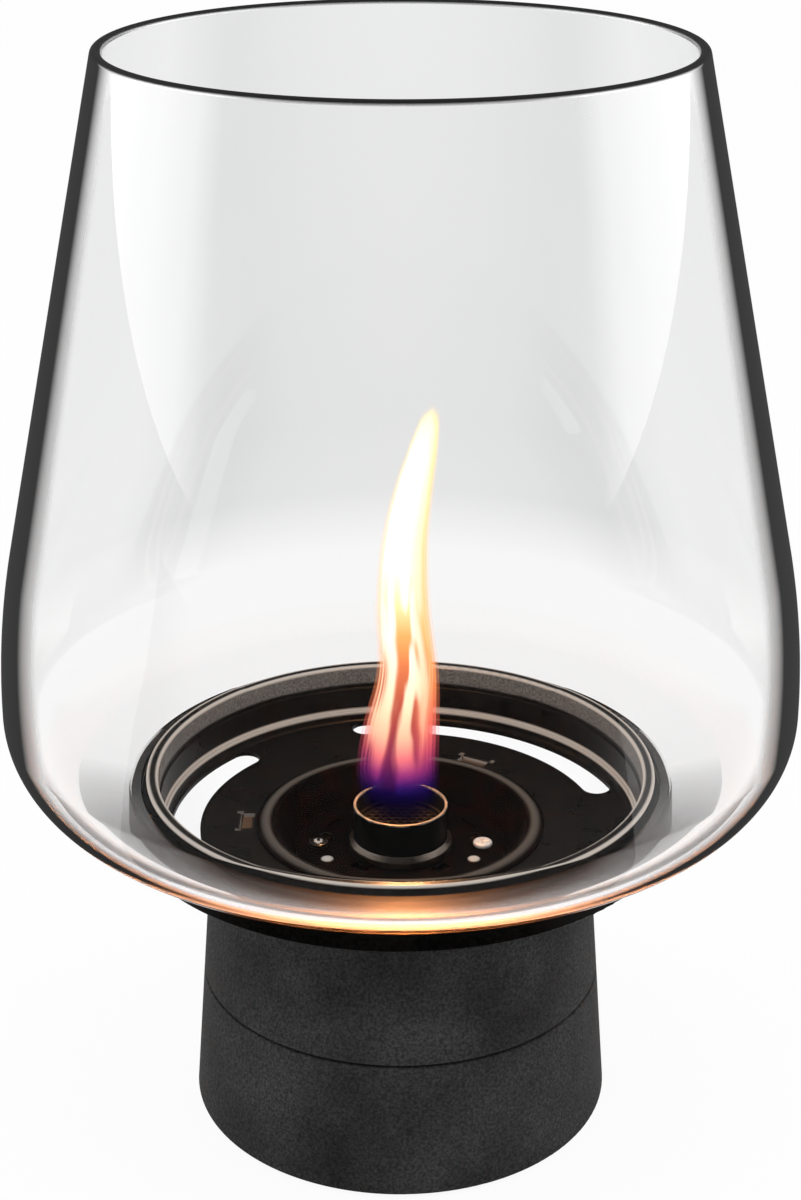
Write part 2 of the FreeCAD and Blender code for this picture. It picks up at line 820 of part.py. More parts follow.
def main():
    """Write every piece of the fireplace."""
    os.makedirs("parts", exist_ok=True)
    single_pieces = (
        base_foot,
        base_neck,
        seam_ring,
        bottom_cover,
        foot_ring,
        ballast_ring,
        tie_screw,
        tie_washer,
        well_nut,
        canister_well,
        well_pad,
        heat_gasket,
        burner_dish,
        seat_ring,
        glass_gasket,
        glass_shade,
        burner_cup,
        head_plate,
        head_gasket,
        burner_tube,
        tube_collar,
        flame_gauze,
        gauze_ring,
        wick_core,
        canister_shell,
        canister_lid,
        fuel_wool,
    )
    for make in single_pieces:
        save(make.__name__, make())
    for make in (head_screws, screw_nuts):
        save(make.__name__, *make())


main()
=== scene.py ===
"""Looks of the tabletop fireplace: finishes, a smooth glass shade, the flame and a plain studio.

Metres, +Z up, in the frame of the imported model. -Y faces the viewer.
"""
import logging
import math
from dataclasses import dataclass, field, replace
from enum import Enum
from typing import Sequence

import bpy
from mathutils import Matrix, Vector


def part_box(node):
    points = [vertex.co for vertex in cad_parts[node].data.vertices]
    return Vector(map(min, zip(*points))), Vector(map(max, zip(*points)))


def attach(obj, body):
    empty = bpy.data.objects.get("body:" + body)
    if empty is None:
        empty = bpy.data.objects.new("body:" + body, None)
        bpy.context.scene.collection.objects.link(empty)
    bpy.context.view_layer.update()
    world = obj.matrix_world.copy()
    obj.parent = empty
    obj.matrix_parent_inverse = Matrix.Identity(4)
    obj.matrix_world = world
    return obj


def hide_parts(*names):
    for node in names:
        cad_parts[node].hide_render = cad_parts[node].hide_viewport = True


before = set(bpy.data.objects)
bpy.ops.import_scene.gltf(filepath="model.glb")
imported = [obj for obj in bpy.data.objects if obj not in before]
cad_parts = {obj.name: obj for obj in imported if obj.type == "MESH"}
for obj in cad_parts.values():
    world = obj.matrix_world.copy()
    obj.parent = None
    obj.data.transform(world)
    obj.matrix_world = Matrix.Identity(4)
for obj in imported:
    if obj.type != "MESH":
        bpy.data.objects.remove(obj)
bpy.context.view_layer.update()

LOG = logging.getLogger("fireplace")

Colour = tuple[float, float, float]
Place = tuple[float, float]
Point = tuple[float, float, float]
Socket = bpy.types.NodeSocket
Feed = Socket | float | Sequence[float]

# Most of a noise lies between these two values.
NOISE_LOW = 0.3
NOISE_HIGH = 0.7
# Length in metres over which a mark on a surface fades out.
FADE = 0.0002
GLASS_INDEX = 1.5


class Body(Enum):
    """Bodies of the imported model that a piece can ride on."""

    GLASS = "glass"
    BURNER = "burner"


class Ray(Enum):
    """Kinds of ray that a stage surface tells apart, by the name of their socket."""

    CAMERA = "Is Camera Ray"
    GLOSSY = "Is Glossy Ray"
    TRANSMISSION = "Is Transmission Ray"


class NodeGraph:
    """Short way to write a shader's node tree."""

    def __init__(self, tree: bpy.types.NodeTree) -> None:
        """Start from an empty tree.

        Args:
            tree: Node tree of a material or of the world.
        """
        self.tree = tree
        self.tree.nodes.clear()

    def feed(self, socket: Socket, value: Feed) -> None:
        """Link another socket into a socket, or set its own value.

        Args:
            socket: Input that is fed.
            value: Output to link, or a number or colour to set.
        """
        if isinstance(value, bpy.types.NodeSocket):
            self.tree.links.new(value, socket)
        elif socket.type == "RGBA":
            socket.default_value = (*value, 1.0)
        else:
            socket.default_value = value

    def fill(self, node: bpy.types.Node, feeds: dict[str, Feed]) -> None:
        """Feed a node's inputs.

        Args:
            node: The node.
            feeds: What goes into its inputs, by the input's name or identifier.
        """
        for name, value in feeds.items():
            socket = next(item for item in node.inputs if name in (item.identifier, item.name))
            self.feed(socket, value)

    def add(self, kind: str, feeds: dict[str, Feed] | None = None, **settings: object) -> bpy.types.Node:
        """Add a node.

        Args:
            kind: Name of the node's type, without its common first part.
            feeds: What goes into its inputs, by the input's name or identifier.
            settings: Other properties of the node.

        Returns:
            The new node.
        """
        node = self.tree.nodes.new(f"ShaderNode{kind}")
        for name, value in settings.items():
            setattr(node, name, value)
        self.fill(node, feeds or {})
        return node

    def place(self) -> Socket:
        """Position on the piece, in metres in the piece's own frame."""
        return self.add("TexCoord").outputs["Object"]

    def along(self, axis: str, vector: Socket) -> Socket:
        """Coordinate of a vector along the axis X, Y or Z."""
        return self.add("SeparateXYZ", {"Vector": vector}).outputs[axis]

    def height(self) -> Socket:
        """Height on the piece, in metres in the piece's own frame."""
        return self.along("Z", self.place())

    def flat(self, vector: Socket) -> Socket:
        """Vector without its height."""
        parts = self.add("SeparateXYZ", {"Vector": vector}).outputs
        return self.add("CombineXYZ", {"X": parts["X"], "Y": parts["Y"]}).outputs["Vector"]

    def length(self, vector: Socket) -> Socket:
        """Length of a vector."""
        return self.add("VectorMath", {"Vector": vector}, operation="LENGTH").outputs["Value"]

    def radius(self, centre: Place = (0.0, 0.0)) -> Socket:
        """Distance from an upright axis, in metres, by the axis's X and Y."""
        feeds = {"Vector": self.place(), "Vector_001": (*centre, 0.0)}
        return self.length(self.flat(self.add("VectorMath", feeds, operation="SUBTRACT").outputs["Vector"]))

    def slant(self) -> Socket:
        """How far the surface is turned from the eye, from 0 square on to 1 edge-on."""
        return self.add("LayerWeight", {"Blend": 0.5}).outputs["Facing"]

    def mark(self, name: str, output: str = "Fac") -> Socket:
        """Mark that the mesh carries, by its name and the output that is read."""
        return self.add("Attribute", attribute_name=name).outputs[output]

    def noise(self, size: float, detail: float = 2.0, stretch: Sequence[float] = (1.0, 1.0, 1.0)) -> Socket:
        """Soft noise that is fixed to the piece.

        Args:
            size: Size of its blotches in metres.
            detail: Number of finer layers.
            stretch: How much longer the blotches are along X, Y and Z.

        Returns:
            Noise from about 0 to 1.
        """
        scale = [1.0 / (size * factor) for factor in stretch]
        spread = self.add("Mapping", {"Vector": self.place(), "Scale": scale})
        feeds = {"Vector": spread.outputs["Vector"], "Scale": 1.0, "Detail": detail}
        return self.add("TexNoise", feeds).outputs["Fac"]

    def span(self, value: Socket, start: Place, finish: Place) -> Socket:
        """Map a range of a value to another range, and hold it beyond.

        Args:
            value: Value that is mapped.
            start: Lower value, and what it becomes.
            finish: Upper value, and what it becomes.

        Returns:
            The mapped value.
        """
        feeds = {
            "Value": value,
            "From Min": start[0],
            "From Max": finish[0],
            "To Min": start[1],
            "To Max": finish[1],
        }
        return self.add("MapRange", feeds, clamp=True).outputs["Result"]

    def rise(self, value: Socket, start: float, finish: float) -> Socket:
        """Zero up to a start, and one from a finish on."""
        return self.span(value, (start, 0.0), (finish, 1.0))

    def fall(self, value: Socket, start: float, finish: float) -> Socket:
        """One up to a start, and zero from a finish on."""
        return self.span(value, (start, 1.0), (finish, 0.0))

    def vary(self, noise: Socket, low: float, high: float) -> Socket:
        """Spread a noise between two values."""
        return self.span(noise, (NOISE_LOW, low), (NOISE_HIGH, high))

    def sums(self, operation: str, first: Feed, second: Feed = 0.0) -> Socket:
        """Result of a named operation on one value or two."""
        return self.add("Math", {"Value": first, "Value_001": second}, operation=operation).outputs["Value"]

    def product(self, first: Socket, *others: Feed) -> Socket:
        """Product of values.

        Args:
            first: First value.
            others: What it is multiplied by.

        Returns:
            The product.
        """
        for other in others:
            first = self.sums("MULTIPLY", first, other)
        return first

    def pick(self, choice: Socket, first: Feed, second: Feed) -> Socket:
        """First value where a choice is zero, and second value where it is one."""
        feeds = {"Factor_Float": choice, "A_Float": first, "B_Float": second}
        return self.add("Mix", feeds, data_type="FLOAT").outputs[0]

    def blend(self, share: Feed, first: Feed, second: Feed, how: str = "MIX") -> Socket:
        """Mix two colours.

        Args:
            share: Share of the second colour.
            first: First colour.
            second: Second colour.
            how: Name of the way they are mixed.

        Returns:
            The mixed colour.
        """
        feeds = {"Factor_Float": share, "A_Color": first, "B_Color": second}
        node = self.add("Mix", feeds, data_type="RGBA", blend_type=how)
        return next(item for item in node.outputs if item.identifier == "Result_Color")

    def grey(self, level: Socket) -> Socket:
        """Grey of a level."""
        return self.add("CombineColor", dict.fromkeys(("Red", "Green", "Blue"), level)).outputs["Color"]

    def shaded(self, colour: Feed, level: Socket) -> Socket:
        """Colour made lighter or darker by a level."""
        return self.blend(1.0, colour, self.grey(level), "MULTIPLY")

    def ramp(self, value: Socket, stops: Sequence[tuple[float, Colour]]) -> Socket:
        """Colour that changes along a value.

        Args:
            value: Value from 0 to 1.
            stops: Positions along the value and their colours.

        Returns:
            The colour.
        """
        node = self.add("ValToRGB", {"Fac": value})
        elements = node.color_ramp.elements
        while len(elements) < len(stops):
            elements.new(0.5)
        for element, (position, colour) in zip(elements, stops):
            element.position = position
            element.color = (*colour, 1.0)
        return node.outputs["Color"]

    def bump(self, height: Socket, depth: float) -> Socket:
        """Normal of a small relief, by its height from 0 to 1 and its depth in metres."""
        return self.add("Bump", {"Height": height, "Distance": depth}).outputs["Normal"]

    def rays(self, *kinds: Ray) -> Socket:
        """One for the kinds of ray that are named, and zero for the rest.

        Args:
            kinds: Kinds of ray.

        Returns:
            One or zero.
        """
        path = self.add("LightPath")
        found = path.outputs[kinds[0].value]
        for kind in kinds[1:]:
            found = self.sums("MAXIMUM", found, path.outputs[kind.value])
        return found


def blank(name: str) -> tuple[bpy.types.Material, NodeGraph]:
    """Make a material with an empty graph.

    Args:
        name: Name of the material.

    Returns:
        The material and its graph.
    """
    material = bpy.data.materials.new(name)
    material.use_nodes = True
    return material, NodeGraph(material.node_tree)


def principled(name: str) -> tuple[bpy.types.Material, NodeGraph, bpy.types.Node]:
    """Make a material with one principled shader.

    Args:
        name: Name of the material.

    Returns:
        The material, its graph and its shader.
    """
    material, graph = blank(name)
    shader = graph.add("BsdfPrincipled")
    graph.add("OutputMaterial", {"Surface": shader.outputs["BSDF"]})
    return material, graph, shader


def scaled(colour: Colour, factor: float) -> Colour:
    """Colour made lighter or darker by a factor."""
    return tuple(channel * factor for channel in colour)


@dataclass(frozen=True)
class Coating:
    """Black coating on metal, from a sandy matte to a heat-proof semi-gloss.

    Attributes:
        name: Name of the finish.
        colour: Mean colour.
        cloud_size: Size of the pale and dark clouds in metres.
        cloud_share: How far the clouds leave the mean colour.
        grain_size: Size of the grain in metres.
        grain_share: How far the grain leaves the mean colour.
        grain_depth: Depth of the grain in metres.
        roughness: Least and greatest roughness.
        gloss: Strength of its reflections, 0.5 for a plain lacquer.
        warm: Colour of the heat stains, if it has any.
        highlight_level: Height above which a painted highlight lies on the side of -Y, if there is one.
        highlight_colour: Colour of the painted highlights.
        highlight_rings: Radii and heights of the edges round the axis that carry a painted highlight.
        highlight_width: Half width of a painted highlight along an edge.
        sheen_levels: Lower and upper height of a band of painted sheen, if it has one.
        sheen_radius: Radius inside which the band lies.
        cut_radius: Radius inside which the sheet's upright cut and bent edges are pale: bare cut metal and a
            painted highlight.
    """

    name: str
    colour: Colour
    cloud_size: float = 0.03
    cloud_share: float = 0.25
    grain_size: float = 0.0007
    grain_share: float = 0.35
    grain_depth: float = 0.00006
    roughness: Place = (0.55, 0.75)
    gloss: float = 0.5
    warm: Colour | None = None
    highlight_level: float | None = None
    highlight_colour: Colour = (0.55, 0.52, 0.48)
    highlight_rings: tuple[Place, ...] = ()
    highlight_width: float = 0.0005
    sheen_levels: Place | None = None
    sheen_radius: float = 0.0
    cut_radius: float = 0.0

    SHEEN = (0.21, 0.198, 0.187)
    CUT_HIGHLIGHT = (0.3, 0.28, 0.26)
    GRAIN_LOW = 0.35
    STAIN_LOW = 0.45
    STAIN_SIZE = 0.6
    SHEEN_SPECKS = ((0.35, 0.45), (0.65, 1.0))
    CUT_TILT = (0.1, 0.25)
    HIGHLIGHT_FRONT = -0.001

    def painted_top_highlight(self, graph: NodeGraph) -> Socket:
        """Share of the painted highlight on what stands up, on the side of -Y.

        Args:
            graph: Graph of the material.

        Returns:
            The share.
        """
        bare = graph.rise(graph.height(), self.highlight_level, self.highlight_level + FADE)
        depth = graph.along("Y", graph.place())
        return graph.product(bare, graph.fall(depth, self.HIGHLIGHT_FRONT, 0.0))

    def painted_sheen(self, graph: NodeGraph) -> Socket:
        """Share of the painted sheen: a grainy band on the inner side of the wall.

        Args:
            graph: Graph of the material.

        Returns:
            The share.
        """
        low, high = self.sheen_levels
        level = graph.height()
        above = graph.rise(level, low - 2 * FADE, low + 2 * FADE)
        below = graph.fall(level, high - FADE, high + FADE)
        within = graph.fall(graph.radius(), self.sheen_radius, self.sheen_radius + FADE)
        specks = graph.span(graph.noise(self.grain_size / 2), *self.SHEEN_SPECKS)
        return graph.product(above, below, within, specks)

    def cut_edge_highlight(self, graph: NodeGraph) -> Socket:
        """Share of the pale colour on the sheet's upright edges: bare cut metal and a painted highlight.

        Args:
            graph: Graph of the material.

        Returns:
            The share.
        """
        tilt = graph.along("Z", graph.add("NewGeometry").outputs["True Normal"])
        edge = graph.fall(graph.product(tilt, tilt), *self.CUT_TILT)
        within = graph.fall(graph.radius(), self.cut_radius, self.cut_radius + FADE)
        return graph.product(edge, within)

    def painted_ring_highlight(self, graph: NodeGraph, ring: Place) -> Socket:
        """Share of the painted highlight along an edge round the axis.

        Args:
            graph: Graph of the material.
            ring: Radius and height of the edge.

        Returns:
            The share.
        """
        across = graph.sums("SUBTRACT", graph.radius(), ring[0])
        up = graph.sums("SUBTRACT", graph.height(), ring[1])
        distance = graph.length(graph.add("CombineXYZ", {"X": across, "Y": up}).outputs["Vector"])
        return graph.fall(distance, self.highlight_width / 2, self.highlight_width * 1.5)

    def painted_layers(self, graph: NodeGraph) -> list[tuple[Socket, Colour]]:
        """Painted highlights, painted sheen and pale cut edges on the coating, from the lowest layer up.

        Args:
            graph: Graph of the material.

        Returns:
            The share and the colour of each layer.
        """
        layers = []
        if self.highlight_level is not None:
            layers.append((self.painted_top_highlight(graph), self.highlight_colour))
        if self.sheen_levels is not None:
            layers.append((self.painted_sheen(graph), self.SHEEN))
        if self.cut_radius > 0.0:
            layers.append((self.cut_edge_highlight(graph), self.CUT_HIGHLIGHT))
        return layers + [(self.painted_ring_highlight(graph, ring), self.highlight_colour) for ring in self.highlight_rings]

    def material(self) -> bpy.types.Material:
        """Make the material of this coating.

        Returns:
            The material.
        """
        material, graph, shader = principled(self.name)
        clouds = graph.noise(self.cloud_size, 4.0)
        grain = graph.noise(self.grain_size, 3.0)
        pale = graph.vary(clouds, 1.0 - self.cloud_share, 1.0 + self.cloud_share)
        dark_speck = (self.GRAIN_LOW, 1.0 - self.grain_share)
        pale_speck = (NOISE_HIGH, 1.0 + self.grain_share)
        level = graph.product(pale, graph.span(grain, dark_speck, pale_speck))
        colour: Feed = self.colour
        if self.warm is not None:
            stain = graph.noise(self.cloud_size * self.STAIN_SIZE, 3.0)
            colour = graph.blend(graph.rise(stain, self.STAIN_LOW, NOISE_HIGH), self.colour, self.warm)
        tone = graph.shaded(colour, level)
        # Lay the painted highlights, painted sheen and pale cut edges over the coating's colour.
        for share, layer in self.painted_layers(graph):
            tone = graph.blend(share, tone, layer)
        feeds = {
            "Base Color": tone,
            "Roughness": graph.vary(clouds, *self.roughness),
            "Specular IOR Level": self.gloss,
            "Normal": graph.bump(grain, self.grain_depth),
        }
        graph.fill(shader, feeds)
        return material


@dataclass(frozen=True)
class TubeCoating:
    """Smooth black coating on the burner tube, worn to bare metal at its rim.

    Attributes:
        name: Name of the finish.
        colour: Colour of the coating.
        metal: Colour of the bare rim.
        rim_level: Height of the rim.
        rim_depth: How far down the bare rim reaches.
    """

    name: str
    colour: Colour
    metal: Colour
    rim_level: float
    rim_depth: float = 0.0007

    RAG_SIZE = 0.002
    SOOT_SIZE = 0.006
    SOOT_AND_SHADE = (0.6, 1.5)
    HAZE_SIZE = 0.003
    ROUGHNESS = (0.28, 0.45)
    GRAIN_SIZE = 0.0005
    GRAIN_DEPTH = 0.00003
    GLOSS = 0.1

    def material(self) -> bpy.types.Material:
        """Make the material of this coating.

        Returns:
            The material.
        """
        material, graph, shader = principled(self.name)
        half = self.rim_depth / 2
        ragged = graph.vary(graph.noise(self.RAG_SIZE, 4.0), -half, half)
        level = graph.sums("ADD", graph.height(), ragged)
        bare = graph.rise(level, self.rim_level - self.rim_depth, self.rim_level - self.rim_depth / 4)
        soot = graph.vary(graph.noise(self.SOOT_SIZE, 4.0), *self.SOOT_AND_SHADE)
        feeds = {
            "Base Color": graph.blend(bare, graph.shaded(self.colour, soot), self.metal),
            "Metallic": bare,
            "Specular IOR Level": self.GLOSS,
            "Roughness": graph.vary(graph.noise(self.HAZE_SIZE), *self.ROUGHNESS),
            "Normal": graph.bump(graph.noise(self.GRAIN_SIZE, 3.0), self.GRAIN_DEPTH),
        }
        graph.fill(shader, feeds)
        return material


@dataclass(frozen=True)
class BareMetal:
    """Bare or plated metal with fine tool marks.

    Attributes:
        name: Name of the finish.
        colour: Colour of the metal.
        roughness: Least and greatest roughness.
        stain_share: How dark its stains are.
        metallic: One for bare metal, and less under a pale plating.
        lit_place: Place, left of the axis, of a small unshaded spot on a piece with painted shade.
    """

    name: str
    colour: Colour
    roughness: Place = (0.25, 0.45)
    stain_share: float = 0.25
    metallic: float = 1.0
    lit_place: Place | None = None

    MARK_SIZE = 0.0004
    MARK_DEPTH = 0.00002
    STAIN_SIZE = 0.008
    LIT_RADIUS = 0.0011
    SOOT_AND_SHADE = (0.012, 0.010, 0.009)
    SHADE_REACH = 0.01
    MARK_STRETCH = (20.0, 20.0, 1.0)
    STAIN_RANGE = (0.35, 0.75)

    def painted_shade(self, graph: NodeGraph) -> Socket:
        """Share of the painted shade: left of the axis, round the small unshaded spot.

        Args:
            graph: Graph of the material.

        Returns:
            The share.
        """
        away = graph.radius(self.lit_place)
        across = graph.sums("SUBTRACT", graph.along("X", graph.place()), self.lit_place[0])
        left = graph.fall(across, self.SHADE_REACH, self.SHADE_REACH * 1.1)
        return graph.product(graph.rise(away, self.LIT_RADIUS, self.LIT_RADIUS + 2 * FADE), left)

    def material(self) -> bpy.types.Material:
        """Make the material of this metal.

        Returns:
            The material.
        """
        material, graph, shader = principled(self.name)
        marks = graph.noise(self.MARK_SIZE, 3.0, self.MARK_STRETCH)
        clean, stained = self.STAIN_RANGE
        stains = graph.noise(self.STAIN_SIZE, 4.0)
        tone = graph.shaded(self.colour, graph.span(stains, (clean, 1.0), (stained, 1.0 - self.stain_share)))
        # Painted shade over the left screw, save a small spot at its centre.
        if self.lit_place is not None:
            tone = graph.blend(self.painted_shade(graph), tone, self.SOOT_AND_SHADE)
        feeds = {
            "Base Color": tone,
            "Metallic": self.metallic,
            "Roughness": graph.vary(marks, *self.roughness),
            "Normal": graph.bump(marks, self.MARK_DEPTH),
        }
        graph.fill(shader, feeds)
        return material


@dataclass(frozen=True)
class Fibre:
    """Pressed fibre or felt.

    Attributes:
        name: Name of the finish.
        colour: Mean colour.
    """

    name: str
    colour: Colour

    FIBRE_SIZE = 0.0004
    FIBRE_STRETCH = 12.0
    RELIEF = 0.0002
    ROUGHNESS = (0.85, 1.0)

    def material(self) -> bpy.types.Material:
        """Make the material of this fibre.

        Returns:
            The material.
        """
        material, graph, shader = principled(self.name)
        along = graph.noise(self.FIBRE_SIZE, 3.0, (self.FIBRE_STRETCH, 1.0, 1.0))
        across = graph.noise(self.FIBRE_SIZE, 3.0, (1.0, self.FIBRE_STRETCH, 1.0))
        strands = graph.sums("MAXIMUM", along, across)
        stops = ((0.4, scaled(self.colour, 0.6)), (0.7, scaled(self.colour, 1.15)))
        feeds = {
            "Base Color": graph.ramp(strands, stops),
            "Roughness": graph.vary(strands, *self.ROUGHNESS),
            "Normal": graph.bump(strands, self.RELIEF),
        }
        graph.fill(shader, feeds)
        return material


@dataclass(frozen=True)
class Rubber:
    """Moulded rubber or silicone, with a dusty bloom.

    Attributes:
        name: Name of the finish.
        colour: Colour of the rubber.
        bloom: Colour of the bloom.
        transmission: Share of light that passes through.
    """

    name: str
    colour: Colour
    bloom: Colour
    transmission: float = 0.0

    DUST_SIZE = 0.004
    ROUGHNESS = (0.5, 0.75)
    GRAIN_SIZE = 0.0006
    GRAIN_DEPTH = 0.00004
    DUST_RANGE = (0.4, 0.75)

    def material(self) -> bpy.types.Material:
        """Make the material of this rubber.

        Returns:
            The material.
        """
        material, graph, shader = principled(self.name)
        dust = graph.noise(self.DUST_SIZE, 5.0)
        feeds = {
            "Base Color": graph.blend(graph.rise(dust, *self.DUST_RANGE), self.colour, self.bloom),
            "Transmission Weight": self.transmission,
            "Roughness": graph.vary(dust, *self.ROUGHNESS),
            "Normal": graph.bump(graph.noise(self.GRAIN_SIZE), self.GRAIN_DEPTH),
        }
        graph.fill(shader, feeds)
        return material


@dataclass(frozen=True)
class ClearGlass:
    """Clear blown glass, with a painted dark reflection where it is seen edge-on and at its rim, and painted
    shade on its far wall.

    Attributes:
        name: Name of the finish.
        tint: Colour of the painted shade on the far wall.
        edge: Colour of the painted dark reflection where the wall is seen edge-on and at its rim.
        edge_slants: Slants where the dark edge starts and where it is full.
        rim_level: Height where the painted dark line of the rim starts.
        bowl_level: Height where the bowl starts.
        far_shade_level: Height where the painted shade on the far wall starts.
        edge_roughness: Roughness of the dark edge.
        edge_shine: Strength of the reflections on the painted dark edge.
        clear: Colour of the wall where it has no painted shade.
        shine: Strength of the reflections where the wall is seen square on.
    """

    name: str
    tint: Colour
    edge: Colour
    edge_slants: Place
    rim_level: float
    bowl_level: float
    far_shade_level: float
    edge_roughness: float = 0.9
    edge_shine: Colour = (0.4, 0.4, 0.4)
    clear: Colour = (0.97, 0.97, 0.97)
    shine: float = 0.05

    RIM_FADE = 0.0008
    BOWL_FADE = 0.006
    FAR_SHADE_FADE = 0.02
    SHINE_SLANTS = (0.17, 0.23)
    FAR_SHADE_MIDDLE = ((0.02, 0.49), (0.2, 1.0))
    FAR_SHADE_SIDES = (0.24, 0.40)

    def painted_far_shade(self, graph: NodeGraph, wall: Socket) -> Socket:
        """Share of the painted shade: on the far wall, thinner in its middle and gone at its sides.

        Args:
            graph: Graph of the material.
            wall: One on the near wall, and zero or two on the far one.

        Returns:
            The share.
        """
        slant = graph.slant()
        above = graph.rise(graph.height(), self.far_shade_level, self.far_shade_level + self.FAR_SHADE_FADE)
        middle = graph.span(slant, *self.FAR_SHADE_MIDDLE)
        sides = graph.fall(slant, *self.FAR_SHADE_SIDES)
        far = graph.sums("ABSOLUTE", graph.sums("SUBTRACT", wall, 1.0))
        return graph.product(above, graph.sums("MINIMUM", middle, sides), far)

    def material(self) -> bpy.types.Material:
        """Make the material of this glass.

        Returns:
            The material.
        """
        material, graph, shader = principled(self.name)
        slant = graph.slant()
        level = graph.height()
        outer = graph.mark("outer")
        behind = graph.add("NewGeometry").outputs["Backfacing"]
        near = graph.product(outer, graph.sums("SUBTRACT", 1.0, behind))
        # Painted dark reflection: the rim line and the wall seen edge-on get a dark colour with a rough metal
        # sheen.
        rim = graph.rise(level, self.rim_level, self.rim_level + self.RIM_FADE)
        above = graph.rise(level, self.bowl_level, self.bowl_level + self.BOWL_FADE)
        edge_on = graph.product(graph.rise(slant, *self.edge_slants), near, above)
        dark = graph.sums("MAXIMUM", edge_on, rim)
        # Painted shade: the far wall is greyed towards the tint.
        painted_far_shade = self.painted_far_shade(graph, graph.sums("ADD", outer, behind))
        tint = graph.blend(painted_far_shade, self.clear, self.tint)
        square, sideways = self.SHINE_SLANTS
        shine = graph.grey(graph.span(slant, (square, self.shine), (sideways, 1.0)))
        feeds = {
            "Base Color": graph.blend(dark, tint, self.edge),
            "Specular Tint": graph.blend(dark, shine, self.edge_shine),
            "Metallic": dark,
            "Transmission Weight": 1.0,
            "IOR": GLASS_INDEX,
            "Roughness": graph.product(dark, self.edge_roughness),
        }
        graph.fill(shader, feeds)
        return material


@dataclass(frozen=True)
class FootGlass:
    """Clear glass under the bloom that heat leaves on the foot and on the turn of the bowl.

    Attributes:
        name: Name of the finish.
        tint: Colour of the glass seen square on.
        edge: Colour of the painted dark reflection where the glass is seen edge-on.
        edge_slants: Slants where the dark edge starts and where it is full.
        edge_metallic: How far the dark edge mirrors like metal.
        turn_slant: How much steeper the turn of the bowl has to be seen for the dark edge.
        turn_roughness: Roughness of the turn of the bowl.
        haze_size: Size of the bloom's patches in metres.
        bloom: Least and greatest strength of the bloom.
        bloom_roughness: Roughness of the bloom.
        shine: Strength of the glass's own reflections.
    """

    name: str
    tint: Colour = (0.97, 0.97, 0.97)
    edge: Colour = (0.07, 0.05, 0.042)
    edge_slants: Place = (0.53, 0.66)
    edge_metallic: float = 0.85
    turn_slant: float = 0.1
    turn_roughness: float = 0.12
    haze_size: float = 0.006
    bloom: Place = (0.05, 0.07)
    bloom_roughness: float = 0.22
    shine: Colour = (0.2, 0.2, 0.2)

    def material(self) -> bpy.types.Material:
        """Make the material of this glass.

        Returns:
            The material.
        """
        material, graph, shader = principled(self.name)
        turn = graph.mark("turn")
        steep = graph.sums("SUBTRACT", graph.slant(), graph.product(turn, self.turn_slant))
        # Painted dark reflection where the foot is seen edge-on.
        edge_on = graph.rise(steep, *self.edge_slants)
        feeds = {
            "Base Color": graph.blend(edge_on, self.tint, self.edge),
            "Metallic": graph.product(edge_on, self.edge_metallic),
            "Specular Tint": self.shine,
            "Transmission Weight": 1.0,
            "IOR": GLASS_INDEX,
            "Roughness": graph.product(turn, self.turn_roughness),
            "Coat Weight": graph.vary(graph.noise(self.haze_size, 3.0), *self.bloom),
            "Coat Roughness": self.bloom_roughness,
        }
        graph.fill(shader, feeds)
        return material


